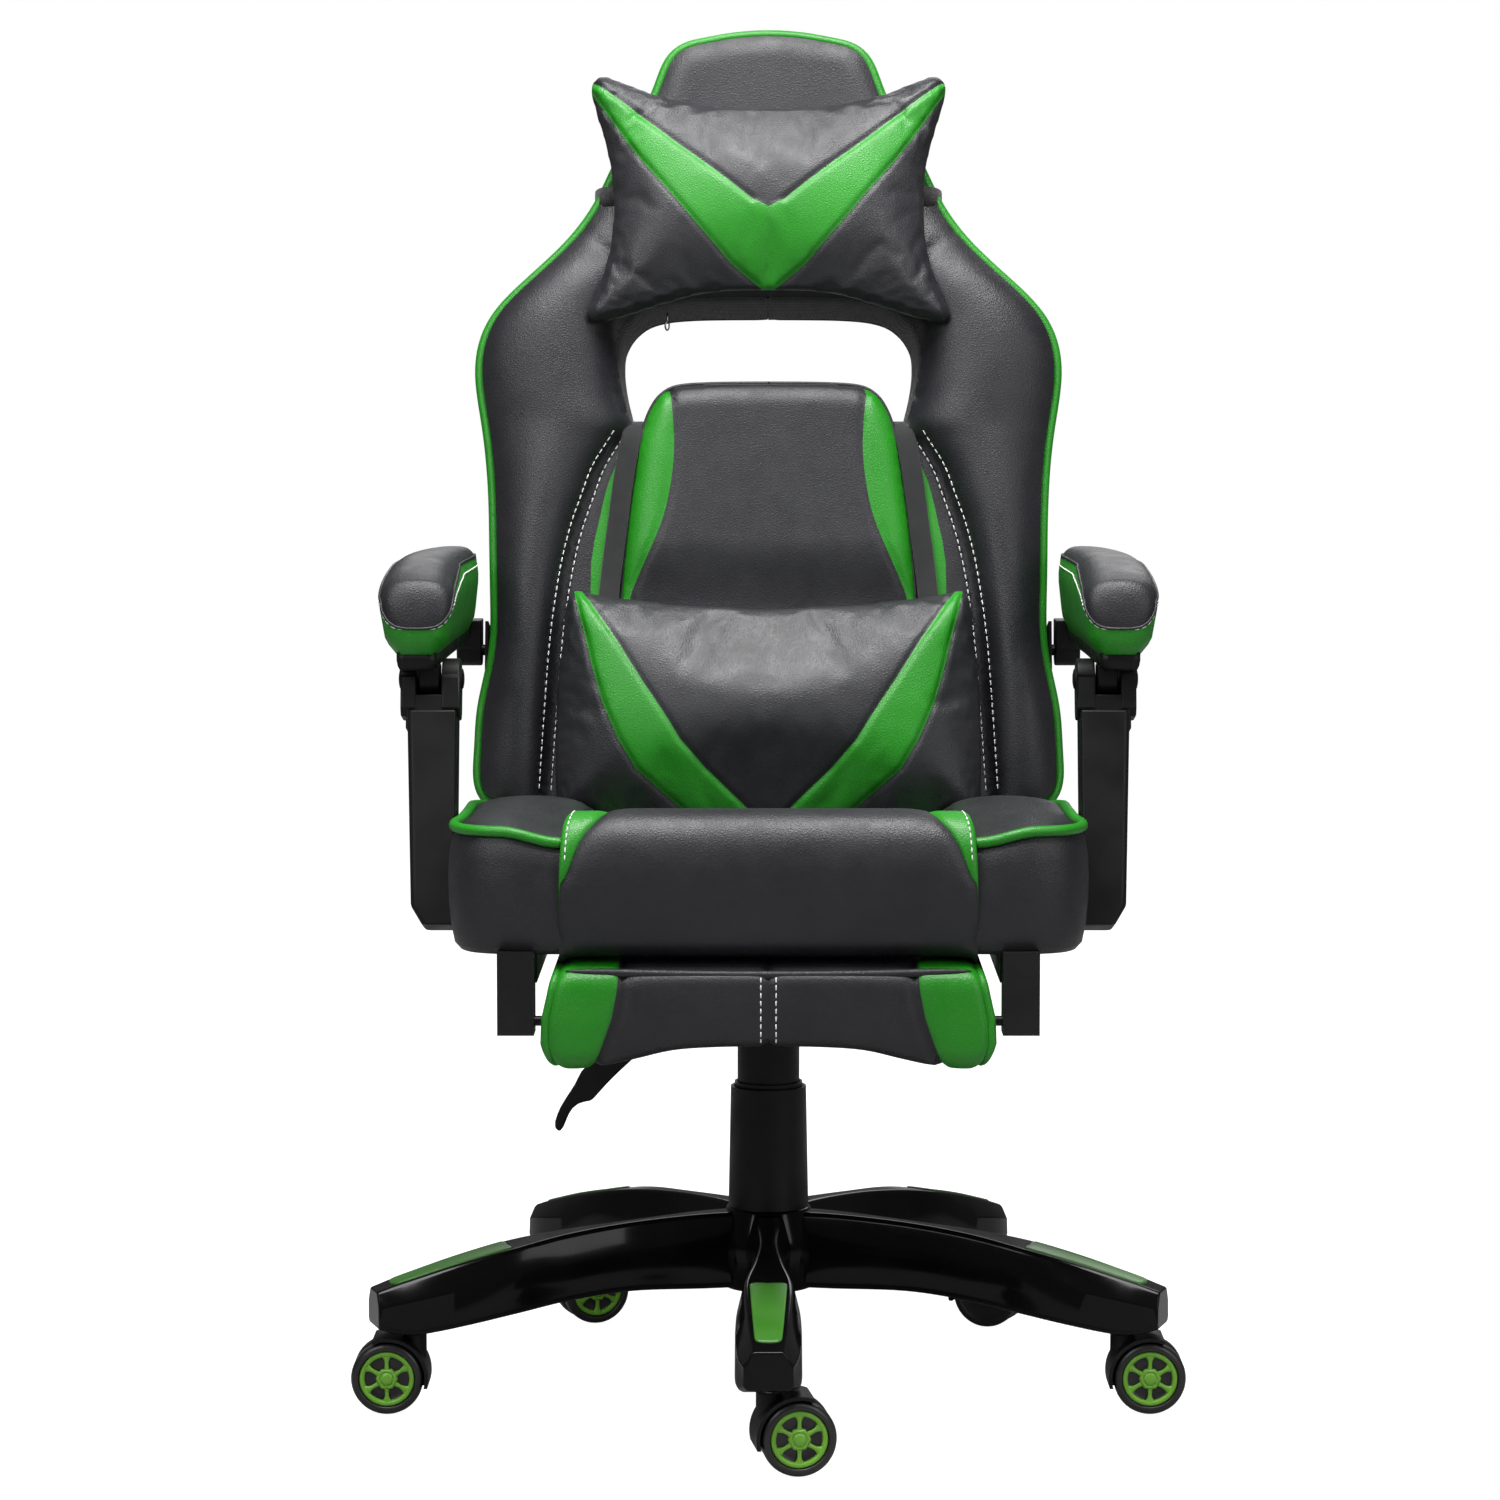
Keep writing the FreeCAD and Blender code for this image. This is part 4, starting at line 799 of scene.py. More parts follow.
def head_straps():
    """An elastic strap from the head pillow round the neck of the backrest."""
    shape = Shape()
    low, high = 521.0, 539.0
    neck = outer_half(530.0)
    route = spline([(112, -22), (134, -18), (neck - 6, -12), (neck + 1, -2), (neck + 3, 12),
                    (neck + 3, 40), (neck - 3, 60), (120, 69), (60, 71.5), (0, 72)], 5.0)
    for _, side in SIDES:
        rings = [np.array([(side * x, d - 0.8, low), (side * x, d - 0.8, high),
                           (side * x, d + 0.8, high), (side * x, d + 0.8, low)]) for x, d in route]
        shape.rings(rings, caps=(True, True))
    return piece("head_straps", shape, "back", webbing, BACK)


shield()
shield_welt()
straps()
head_straps()


# ---------------------------------------------------------------- pillows

FURTHEST = 22.0


def inflate(made, pinned, grow):
    """Stuffs a closed form: cloth under pressure, with no point moved too far."""
    remesh = made.modifiers.new("remesh", "REMESH")
    remesh.mode = "VOXEL"
    remesh.voxel_size = 0.0045
    bpy.context.view_layer.update()
    settle(made)
    start = coordinates(made.data)
    group = made.vertex_groups.new(name="seam")
    group.add([int(i) for i in np.flatnonzero(pinned(start / MM))], 1.0, "REPLACE")
    cloth = made.modifiers.new("stuffing", "CLOTH")
    cloth.settings.quality = 5
    cloth.settings.use_pressure = True
    cloth.settings.uniform_pressure_force = 4.0
    cloth.settings.shrink_min = -grow
    cloth.settings.tension_stiffness = 12
    cloth.settings.compression_stiffness = 12
    cloth.settings.bending_stiffness = 0.4
    cloth.settings.mass = 0.3
    cloth.settings.vertex_group_mass = "seam"
    cloth.settings.effector_weights.gravity = 0
    cloth.collision_settings.use_collision = False
    for step in range(1, 21):
        bpy.context.scene.frame_set(step)
    settle(made)
    end = coordinates(made.data)
    move = end - start
    far = np.linalg.norm(move, axis=1)
    move *= np.minimum(1.0, FURTHEST * MM / np.maximum(far, 1e-9))[:, None]
    made.data.vertices.foreach_set("co", (start + move).ravel())
    bpy.context.scene.frame_set(1)
    fine = made.modifiers.new("fine", "SUBSURF")
    fine.levels = fine.render_levels = 1
    settle(made)
    return made


def settle(made):
    """Bakes the modifiers into the mesh."""
    depsgraph = bpy.context.evaluated_depsgraph_get()
    kept = list(made.data.materials)
    mesh = bpy.data.meshes.new_from_object(made.evaluated_get(depsgraph))
    made.modifiers.clear()
    made.vertex_groups.clear()
    made.data = mesh
    mesh.materials.clear()
    for material in kept:
        mesh.materials.append(material)
    mesh.polygons.foreach_set("use_smooth", [True] * len(mesh.polygons))
    mesh.polygons.foreach_set("material_index", [0] * len(mesh.polygons))
    mesh.update()


def coordinates(mesh):
    """The points of a mesh as an array."""
    flat = np.empty(len(mesh.vertices) * 3)
    mesh.vertices.foreach_get("co", flat)
    return flat.reshape(-1, 3)


def reshape(made, change):
    """Moves the points of a mesh by a function of points and normals in millimetres."""
    mesh = made.data
    points = coordinates(mesh) / MM
    normals = np.empty(len(mesh.vertices) * 3)
    mesh.vertices.foreach_get("normal", normals)
    mesh.vertices.foreach_set("co", (change(points, normals.reshape(-1, 3)) * MM).ravel())
    mesh.update()


def stuffed(name, edge, middle, front, rear, round_width, material, grow):
    """A pillow from its flat outline, with front and rear swells about a middle depth."""
    def swell(depth):
        """A sheet's place, swollen away from the middle by up to a depth."""
        def lift(x, s):
            gap = distance(np.column_stack([x, s]), edge, True)
            return np.column_stack([x, middle + depth * rounded(gap, round_width), s])
        return lift
    shape = Shape()
    shape.sheet(edge, swell(-front), spacing=7.0)
    shape.sheet(edge, swell(rear), spacing=7.0, flip=True)
    made = piece(f"{name}_cover", shape, "back", material, BACK, [name])

    def on_seam(points):
        """The points near the seam round the pillow, which stay put."""
        gap = distance(points[:, (0, 2)], edge, True)
        return (gap < 5.0) & (np.abs(points[:, 1] - middle) < 9.0)
    inflate(made, on_seam, grow)
    return made


HEAD_EDGE = mirrored([(0.01, 606), (50, 609), (95, 618), (126, 629), (144, 636), (156, 635),
                      (162, 625), (157, 602), (148, 572), (142, 540), (141, 500), (147, 462),
                      (158, 432), (165, 414), (155, 407), (130, 412), (90, 425), (45, 435)])
head_edge = spline(HEAD_EDGE, 5.0, closed=True)
VEE_INNER = [(400, 0), (507, 0), (514, 14), (533, 37), (551, 60), (570, 85), (588, 107),
             (606, 129), (625, 153), (640, 172)]
VEE_OUTER = [(400, 0), (434, 0), (441, 10), (459, 34), (478, 51), (496, 67), (514, 82),
             (533, 98), (551, 113), (570, 127), (588, 139), (606, 151), (625, 163), (640, 172)]
LUMBAR_EDGE = mirrored([(0.01, 148), (60, 150), (120, 156), (160, 162), (174, 164), (180, 150),
                        (184, 110), (188, 70), (189, 30), (188, -18), (180, -38), (120, -43),
                        (60, -43)])
lumbar_edge = spline(LUMBAR_EDGE, 5.0, closed=True)
CURL_INNER = [(-40, 10), (-20, 32), (0, 54), (25, 77), (43, 88), (60, 99), (78, 111), (96, 122),
              (114, 133), (132, 145), (149, 156), (166, 168)]
CURL_OUTER = [(-40, 68), (-20, 92), (0, 116), (25, 131), (43, 139), (60, 146), (78, 151),
              (96, 156), (114, 160), (132, 165), (149, 169), (166, 173)]


def seam_fold(made, limits, low, high, front):
    """Pulls the face in along each band edge and lifts the band between a little."""
    def change(points, normals):
        """Points near the two seams go in, those between go out."""
        across, rise = np.abs(points[:, 0]), points[:, 2]
        facing = (points[:, 1] < front) & (normals[:, 1] < -0.1)
        inner, outer = [between(limit)(rise) for limit in limits]
        span = ease(rise, low, low + 6) * ease(-rise, -high, 6 - high)
        flat = np.column_stack([across, rise])
        seams = [distance(flat, [(half, up) for up, half in limit if half > 0]) for limit in limits]
        dip = 1.9 * crease(seams[0], 2.2) + 1.9 * crease(seams[1], 2.2)
        lift = 0.9 * ((across > inner) & (across < outer)) * ease(np.minimum(*seams), 0, 6)
        return points + normals * ((lift - dip) * facing * span)[:, None]
    reshape(made, change)


def head_pillow():
    """The head pillow, with its green V and a seam up from its lower edge."""
    material = banded_leather("head_leather", BLACK, GREEN, VEE_INNER, VEE_OUTER, 400, 640, 175.0)
    made = stuffed("head_pillow", head_edge, -34, 24, 20, 62, material, 0.015)
    seam_fold(made, (VEE_INNER, VEE_OUTER), 432, 638, -34)

    def centre_seam(points, normals):
        """Points near the middle seam go in."""
        gap = np.abs(points[:, 0])
        span = (points[:, 2] < 507) & (points[:, 2] > 434) & (points[:, 1] < -34)
        return points + normals * (-1.4 * crease(gap, 2.0) * span)[:, None]
    reshape(made, centre_seam)
    keep_clear(made, -16.0)
    return made


def keep_clear(made, limit):
    """Presses the back of a pillow flat where it would sink into the backrest."""
    def change(points, _):
        """Moves points forward to the limit, less so at the sides."""
        floor = limit - 6 * ease(np.abs(points[:, 0]), 60, 150)
        points[:, 1] = np.minimum(points[:, 1], floor)
        return points
    reshape(made, change)


def lumbar_pillow():
    """The lumbar pillow, with its two green curls."""
    material = banded_leather("lumbar_leather", BLACK, GREEN, CURL_INNER, CURL_OUTER, -40, 166, 200.0)
    made = stuffed("lumbar_pillow", lumbar_edge, -44, 30, 24, 58, material, 0.01)
    seam_fold(made, (CURL_INNER, CURL_OUTER), -40, 164, -44)
    keep_clear(made, -13.0)
    return made


head_pillow()
lumbar_pillow()

# ---------------------------------------------------------------- seat

# the seat's middle from its rear edge forward, over the roll and down, as (back, up)
SEAT_RUN = spline([(186, 466), (120, 468), (40, 472), (-60, 480), (-130, 489), (-185, 502),
                   (-220, 513), (-243, 518), (-262, 513), (-274, 499), (-279, 480), (-279, 460),
                   (-277, 440), (-272, 420), (-264, 406), (-248, 400), (-215, 399)], 5.0)
SEAT_WAY = np.gradient(SEAT_RUN, axis=0)
SEAT_WAY /= np.linalg.norm(SEAT_WAY, axis=1)[:, None]
SEAT_OUT = np.column_stack([SEAT_WAY[:, 1], -SEAT_WAY[:, 0]])
SEAT_OUT *= np.where(SEAT_OUT @ np.array([-0.3, 1.0]) < -0.2, -1, 1)[:, None]
seat_length = np.r_[0, np.cumsum(np.linalg.norm(np.diff(SEAT_RUN, axis=0), axis=1))]
over_crest = seat_length[np.argmax(SEAT_RUN[:, 1])]
# half-widths of the green stripe's inner and outer edge, by the run past the crest
stripe_inner = curve([(-440, 120), (-240, 116), (-140, 112), (-60, 114), (-25, 121), (0, 129),
                      (18, 136), (32, 144), (44, 150), (58, 155), (70, 159.5), (82, 164.5), (150, 165)])
stripe_outer = curve([(-440, 156), (-60, 156), (-10, 156), (10, 158), (30, 161), (60, 163),
                      (82, 163.5), (150, 163.5)])


def seat_panel(name, low, high, columns, sink, swell, soft, material, replaced=()):
    """A strip of the seat cover between two half-widths, puffed between its seams."""
    run = seat_length - over_crest
    share = np.linspace(0, 1, columns)
    rings = []
    for place, way, along in zip(SEAT_RUN, SEAT_OUT, run):
        start, end = low(along), high(along)
        across = start + (end - start) * share
        gap = np.minimum(across - start, end - across)
        out = -sink + swell * rounded(gap, soft)
        rings.append(np.column_stack([across, place[0] + way[0] * out, place[1] + way[1] * out]))
    return piece(name, Shape().rings(rings, closed=False), "seat", material, None, replaced)


BOLSTER_FOOT = 404.0


def bolster_plan(side):
    """The outline of one side roll from above."""
    plan = spline([(150, -262), (172, -270), (208, -270), (236, -259), (251, -236), (255, -205),
                   (252, -172), (250.5, -100), (250.5, 60), (249, 150), (243, 180), (215, 186), (165, 186),
                   (150, 170), (148, 0), (148, -200)], 5.0, closed=True)
    return plan * (side, 1)


def bolster_edge(flat):
    """Height of the piping round a bolster: lower at the roll in front and at the rear."""
    front = 9.0 * ease(212 - np.abs(flat[:, 0]), 0, 48) * ease(-flat[:, 1], 180, 250)
    rear = 25.0 * np.clip((flat[:, 1] + 60) / 246, 0, 1) ** 1.1
    return 503.0 - front - rear


def seat_bolster(name, side):
    """One side roll of the seat: a tall band, a piping and a crowned top."""
    plan = bolster_plan(side)
    band = [(16.0, 0.0), (8.0, 0.01), (3.5, 0.06), (0.8, 0.19), (-1.0, 0.38), (-1.6, 0.57),
            (-0.8, 0.76), (1.2, 0.90)]
    rings = []
    for inset, share in band:
        flat = offset(plan, inset)
        rings.append(level(flat, BOLSTER_FOOT + share * (bolster_edge(flat) - BOLSTER_FOOT)))
    edge = offset(plan, 5.5)
    rings.append(level(edge, bolster_edge(edge) - 3.0))
    shape = Shape().rings(rings, caps=(True, False))

    def crown(x, y):
        """The rounded top inside the piping."""
        points = np.column_stack([x, y])
        rise = 11.0 * rounded(distance(points, edge, True), 46) * (0.3 + 0.7 * ease(-y, -190, 0))
        return np.column_stack([x, y, bolster_edge(points) - 3.0 + rise])
    shape.sheet(edge, crown, spacing=6.0)
    made = piece(f"seat_bolster_{name}", shape, "seat", black_leather)
    path = offset(plan, 3.6)
    keep = (np.abs(path[:, 0]) > 158) & ((path[:, 1] < 178) | (np.abs(path[:, 0]) > 225))
    first = next(i for i in range(len(path)) if keep[i] and not keep[i - 1])
    order = np.roll(np.arange(len(path)), -first)
    run = path[order[keep[order]]]
    piping = Shape().tube(level(run, bolster_edge(run)), 4.3, sides=12)
    piece(f"seat_piping_{name}", piping, "seat", green_leather)
    return made


def seat_underside():
    """The seat's board, seen from below under a dust cover."""
    corner = spline([(150, 184), (212, 184), (224, 172), (226, 100), (226, -150), (224, -222),
                     (212, -240), (150, -244)], 8.0)
    plan = np.vstack([corner, corner[::-1] * (-1, 1)])
    profile = ((3.0, 411.0), (0.0, 412.5), (0.0, 422.0), (3.0, 424.0))
    shape = Shape().rings(sleeve(plan, profile, level), caps=(True, True))
    piece("seat_dust_cover", shape, "seat", lining, None, ["seat_board"])


def seat():
    """The middle of the seat, its green stripes and its side rolls."""
    middle = seat_panel("seat_centre", lambda a: -stripe_inner(a), stripe_inner, 61, 3.5, 4.5, 24.0,
                        black_leather, ["seat_cushion", "seat_front_roll"])
    stitching = Shape()
    for name, side in SIDES:
        low = lambda a, side=side: side * (stripe_inner(a) if side > 0 else stripe_outer(a) + 1.5)
        high = lambda a, side=side: side * (stripe_outer(a) + 1.5 if side > 0 else stripe_inner(a))
        seat_panel(f"seat_stripe_{name}", low, high, 13, 3.5, 2.5, 9.0,
                   green_leather)
        run = seat_length - over_crest
        shown = (run > -60) & (run < 62)
        rows = [(side * (stripe_outer(along) - 2.5), place[0] - way[0] * 1.2, place[1] - way[1] * 1.2)
                for place, way, along in zip(SEAT_RUN[shown], SEAT_OUT[shown], run[shown])]
        stitching.stitches(rows, length=4.0, gap=2.0)
        made = seat_bolster(name, side)
        if side < 0:
            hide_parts("seat_bolsters")
    piece("seat_stitching", stitching, "seat", white_thread)


seat()
seat_underside()


# ---------------------------------------------------------------- footrest

REST_FRONT, REST_REAR, REST_TOP = -278.0, -86.0, 396.0
rest_low = curve([(0, 331), (40, 330.5), (75, 328), (105, 321), (130, 315.5), (150, 314), (200, 314)])
# half-width of the green ends' seam and of the whole pad, by height
rest_green = curve([(300, 146), (314, 140), (322, 134), (335, 128), (350, 122), (365, 118),
                    (380, 116), (400, 115)])
rest_half = curve([(300, 162), (314, 169), (323, 174), (334, 178), (344, 179), (354, 177.5),
                   (370, 174), (385, 171), (400, 166)])


def footrest():
    """The padded footrest: a black middle and two green ends, with an arch under it."""
    turns = np.linspace(0, 2 * math.pi, 72, endpoint=False)
    round_y = np.sign(np.cos(turns)) * np.abs(np.cos(turns)) ** 0.36
    round_z = np.sign(np.sin(turns)) * np.abs(np.sin(turns)) ** 0.28

    def section(across, pinch):
        """The pad's outline at each point's own place across."""
        low = rest_low(np.abs(across))
        depth, high = (REST_REAR - REST_FRONT) / 2, (REST_TOP - low) / 2
        y = (REST_REAR + REST_FRONT) / 2 - round_y * (depth - pinch)
        z = (REST_TOP + low) / 2 + round_z * (high - pinch)
        return np.column_stack([across, y, z])

    height = (REST_TOP + 314) / 2 + round_z * (REST_TOP - 314) / 2
    border, half = rest_green(height), rest_half(height)
    shares = [(-1, t) for t in np.linspace(1, 0, 18, endpoint=False)]
    shares += [(0, t) for t in np.linspace(-1, 1, 41)]
    shares += [(1, t) for t in np.linspace(0, 1, 19)[1:]]
    rings, green = [], []
    for zone, t in shares:
        if zone:
            across = zone * (border + (half - border) * t)
            seam = (half - border) * t
            end = (half - border) * (1 - t)
            pinch = 1.8 * crease(seam, 2.5) + 9.0 * (1 - rounded(end, 12)) \
                - 2.5 * rounded(seam, 14) * rounded(end, 14)
        else:
            across = border * t
            seam = border * (1 - abs(t))
            pinch = 1.8 * crease(seam, 2.5) + 1.6 * crease(np.abs(across), 2.5) \
                - 1.5 * rounded(seam, 20) * rounded(np.abs(across), 20)
        rings.append(section(across, pinch))
        green.append(zone != 0)
    shape = Shape().rings(rings, tag=lambda i, j: int(green[i] and green[i + 1]), caps=(True, True))
    pad = piece("footrest_cover", shape, "footrest",
                [black_leather, green_leather], None, ["footrest_pad", "footrest_board"])
    ridge = Shape()
    for _, side in SIDES:
        ridge.tube(section(side * (half - 1.5), 3.0), 3.6, closed=True, sides=10)
    piece("footrest_piping", ridge, "footrest", green_leather)
    flap = Shape()
    path = [(x, REST_FRONT + 5.0, REST_TOP - 3.0 - 3.0 * (1 - (x / 160) ** 2))
            for x in np.linspace(-160, 160, 60)]
    flap.tube(path, 3.2 * (1 - np.linspace(-1, 1, 60) ** 12) + 0.4, sides=10)
    piece("footrest_flap", flap, "footrest", black_leather)
    stitching = Shape()
    for gap in (-6.0, 6.0):
        front = section(np.full(len(turns), gap), -1.2)
        rows = front[(front[:, 1] < REST_FRONT + 10) & (front[:, 2] > rest_low(0) + 1)]
        rows = rows[np.argsort(-rows[:, 2])]
        stitching.stitches(resample(rows, 3.0), length=4.2, gap=2.0)
    piece("footrest_stitching", stitching, "footrest", white_thread)


footrest()


# ---------------------------------------------------------------- armrests

pad_outer = curve([(-138, 314.5), (-120, 317.5), (0, 319), (60, 318), (120, 312), (180, 303),
                   (230, 294), (252, 286), (262, 276)])
pad_inner = curve([(-138, 257), (-120, 255.5), (0, 254.5), (100, 254.5), (180, 256), (230, 260),
                   (252, 265), (262, 272)])
pad_top = curve([(-138, 696), (-120, 701), (-90, 705.5), (-50, 708.5), (0, 710.5), (100, 710.5),
                 (180, 709), (230, 706), (252, 699), (262, 684)])
pad_low = curve([(-138, 632), (-120, 630.5), (0, 630), (200, 630), (250, 632), (262, 642)])
pad_seam = curve([(-153, 656), (-150.5, 658.5), (-147.6, 663.5), (-143, 671), (-136, 679),
                  (-120, 686), (-100, 690), (-60, 696), (-30, 699), (0, 701.5), (180, 700),
                  (230, 697), (262, 672)])
# width of the section by share of its height, below the shoulder of the pad
pad_flank = curve([(0, 0.46), (0.07, 0.66), (0.18, 0.81), (0.30, 0.90), (0.45, 0.97), (0.62, 1.0)])
PAD_FRONT, PAD_NOSE, NOSE_UP = -153.0, 16.0, 657.0
nose = np.radians(np.linspace(2, 86, 13))
PAD_BACKS = np.concatenate([PAD_FRONT + PAD_NOSE * (1 - np.cos(nose)), np.arange(-136, -116, 5),
                            np.arange(-114, 250, 8), [252, 257, 260, 262]])
FLANK, OVER = 10, 13


def pad_section(back):
    """One cross-section of an arm pad, from its inner bottom edge over to its outer one."""
    near = np.clip(1 - (back - PAD_FRONT) / PAD_NOSE, 0, 1)
    tall, wide = math.sqrt(1 - near ** 2), (1 - near ** 2.6) ** (1 / 2.6)
    outer, inner = pad_outer(back), pad_inner(back)
    low = NOSE_UP + (pad_low(back) - NOSE_UP) * tall
    top = NOSE_UP + (pad_top(back) - NOSE_UP) * tall
    seam = np.clip(pad_seam(back), low + 2 * tall, top - 2 * tall)
    up = np.r_[np.linspace(low, seam, FLANK),
               seam + (top - seam) * np.sin(np.linspace(0, math.pi / 2, OVER)[1:])]
    share = (up - low) / (top - low)
    crest = np.clip((share - 0.62) / 0.38, 0, 1)
    width = np.where(share < 0.62, pad_flank(share), (1 - crest ** 2.8) ** (1 / 2.8))
    flank = np.column_stack([width * wide * (outer - inner) / 2, up])
    ring = np.vstack([flank, flank[-2::-1] * (-1, 1)])
    return (outer + inner) / 2, ring


def armrest(name, side):
    """An armrest: a pad of green sides and a black top, its tray and its post."""
    rings = []
    for back in PAD_BACKS:
        centre, ring = pad_section(back)
        rings.append(np.column_stack([side * (centre + ring[:, 0]), np.full(len(ring), back), ring[:, 1]]))
    count = len(rings[0])

    def tag(_, j):
        """1 on the green sides, 0 on the black top."""
        return int(j < FLANK - 1 or j >= count - FLANK)
    shape = Shape().rings(rings, tag=tag, caps=(True, True))
    shape.tags[-2] = 0
    pad = piece(f"arm_pad_cover_{name}", shape, f"armrest_{name}",
                [black_leather, green_leather], None, [f"arm_pad_{name}"])
    skin = np.array(rings)
    middle = skin.mean(1, keepdims=True)
    skin = skin + 0.4 * (skin - middle) / np.maximum(np.linalg.norm(skin - middle, axis=2), 1)[..., None]

    def round_front(index):
        """The line at one place on the section, up the inner side and back down the outer one."""
        return resample(np.vstack([skin[::-1, count - 1 - index], skin[:, index]]), 3.0)
    piece(f"arm_stitching_{name}", Shape().stitches(round_front(FLANK - 2), radius=0.65),
          f"armrest_{name}", white_thread)
    piece(f"arm_welt_{name}", Shape().tube(round_front(FLANK - 1), 1.2, sides=8),
          f"armrest_{name}", black_leather)
    tray(name, side)
    arm_post(name, side)


def block(outline_points, axis, low, high):
    """A flat outline pushed between two levels along one axis."""
    ring = np.array(outline_points, float)
    rings = []
    for level in (low, high):
        flat = [np.full(len(ring), level) if i == axis else None for i in range(3)]
        free = [i for i in range(3) if i != axis]
        flat[free[0]], flat[free[1]] = ring[:, 0], ring[:, 1]
        rings.append(np.column_stack(flat))
    return rings


def disc(centre, radius, steps=40, start=0.0, end=2 * math.pi):
    """Points on a circle, or on a part of it."""
    turns = np.linspace(start, end, steps, endpoint=end - start < 6.28)
    return [(centre[0] + radius * math.cos(t), centre[1] + radius * math.sin(t)) for t in turns]


def tray(name, side):
    """The moulded shell under an arm pad, with its front lug and rear tail."""
    backs = np.concatenate([[-147, -146, -142, -134], np.arange(-120, 250, 14), [252, 257]])
    middle = (pad_outer(backs) + pad_inner(backs)) / 2
    half = 0.56 * (pad_outer(backs) - pad_inner(backs)) / 2
    plan = list(zip(middle + half, backs + 3)) + list(zip(middle - half, backs + 3))[::-1]
    plan = resample(plan + plan[:1], 6.0, closed=True)
    profile = ((6.0, 621.0), (3.0, 622.0), (1.0, 625.0), (0.0, 629.0), (0.0, 636.0))
    rings = [ring * (side, 1, 1) for ring in sleeve(plan, profile, level)]
    shape = Shape().rings(rings, caps=(True, True))
    piece(f"arm_tray_shell_{name}", shape, f"armrest_{name}", black_plastic, None,
          [f"arm_tray_{name}"])
    low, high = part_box(f"arm_tray_{name}")
    axis_up = low.z / MM + 14
    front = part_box(f"arm_post_{name}")[1].y / MM - 18.5
    lug = Shape()
    profile = [(front + 13, 624), (front - 13, 624)] + disc((front, axis_up), 13, 24, math.pi, 2 * math.pi)
    lug.rings(block(profile, 0, side * 269.0, side * 286.0), caps=(True, True))
    rear = high.y / MM - 16
    profile = [(rear + 16, 640), (rear - 22, 640), (rear - 20, 616)]
    profile += disc((rear, axis_up), 14, 24, math.pi, 2 * math.pi)
    lug.rings(block(profile, 0, side * 257.5, side * 280.0), caps=(True, True))
    piece(f"arm_lugs_{name}", lug, f"armrest_{name}", black_plastic, bevel=1.2)


# from the post's lower pivot to the pin in its forked head, and the frame at that lower pivot
POST_LENGTH = 187.0
POST_FOOT = Matrix.Translation((0, -0.150, 0.430)) @ Matrix.Rotation(-LEAN, 4, "X")
CHEEKS = ((252.0, 267.0), (288.0, 300.5))


def arm_post(name, side):
    """A tapered post with a forked head that holds the armrest's pin."""
    body = f"arm_post_{name}"
    length = POST_LENGTH
    shaft = Shape()
    rings = []
    for up in np.linspace(-18, 158, 12):
        lean = 5.0 * (158 - up) / 176
        near = 9.0 * ease(-up, 4, 18)
        low, high = 254.5, 294.5 - lean - near
        rings.append([(side * x, d, up) for x, d in
                      ((low, -24), (high - 3, -24), (high, -21), (high, 21), (high - 3, 24), (low, 24))])
    shaft.rings([np.array(r) for r in rings], caps=(True, True))
    piece(f"post_shaft_{name}", shaft, body, black_plastic, POST_FOOT,
          [f"arm_post_{name}"], bevel=2.2)
    cheeks = Shape()
    profile = [(-17, length - 27), (-17, length)] + disc((0, length), 17, 20, math.pi, 0.0) \
        + [(17, length), (17, length - 27), (12, length - 33), (-12, length - 33)]
    for low, high in CHEEKS:
        cheeks.rings(block(profile, 0, side * low, side * high), caps=(True, True))
    for near, far, top in ((-16, 16, length - 15), (14, 17, length + 2)):
        plate = [(near, length - 44), (near, top), (far, top), (far, length - 44)]
        cheeks.rings(block(plate, 0, side * 255.0, side * 296.0), caps=(True, True))
    piece(f"post_fork_{name}", cheeks, body, black_plastic, POST_FOOT, bevel=1.6)
    caps = Shape()
    for reach, way in ((CHEEKS[0][0], -1), (CHEEKS[1][1], 1)):
        button = Shape().lathe([(0.01, 2.6), (4, 2.5), (7.5, 1.8), (9.2, 0.4), (9.4, -1.0)], 32)
        turn = Matrix.Rotation(math.radians(90 * side * way), 4, "Y")
        caps_at = Matrix.Translation((side * reach, 0, length)) @ turn
        caps.join(button.moved(caps_at))
    piece(f"post_buttons_{name}", caps, body, black_plastic, POST_FOOT)


for side_name, side_sign in SIDES:
    armrest(side_name, side_sign)


# ---------------------------------------------------------------- column and lever

def lever():
    """The blade of the height lever, seen from the front under the seat's left side."""
    edge = [(-57, 357), (-100, 318), (-135, 290), (-152, 275), (-160, 267), (-165, 257), (-172, 246),
            (-178, 236), (-182, 226), (-182.5, 219), (-180, 215.5), (-176.5, 217), (-173, 225),
            (-168, 235), (-160, 241), (-152, 242), (-147, 247), (-138, 257), (-127, 268),
            (-111, 283), (-88, 306), (-57, 342)]
    shape = Shape().rings(block(spline(edge, 6.0), 1, 10.0, 19.0), caps=(True, True))
    piece("lever_blade", shape, "height_lever", black_plastic, None,
          ["height_lever"], bevel=2.4)


lever()


# ---------------------------------------------------------------- star base

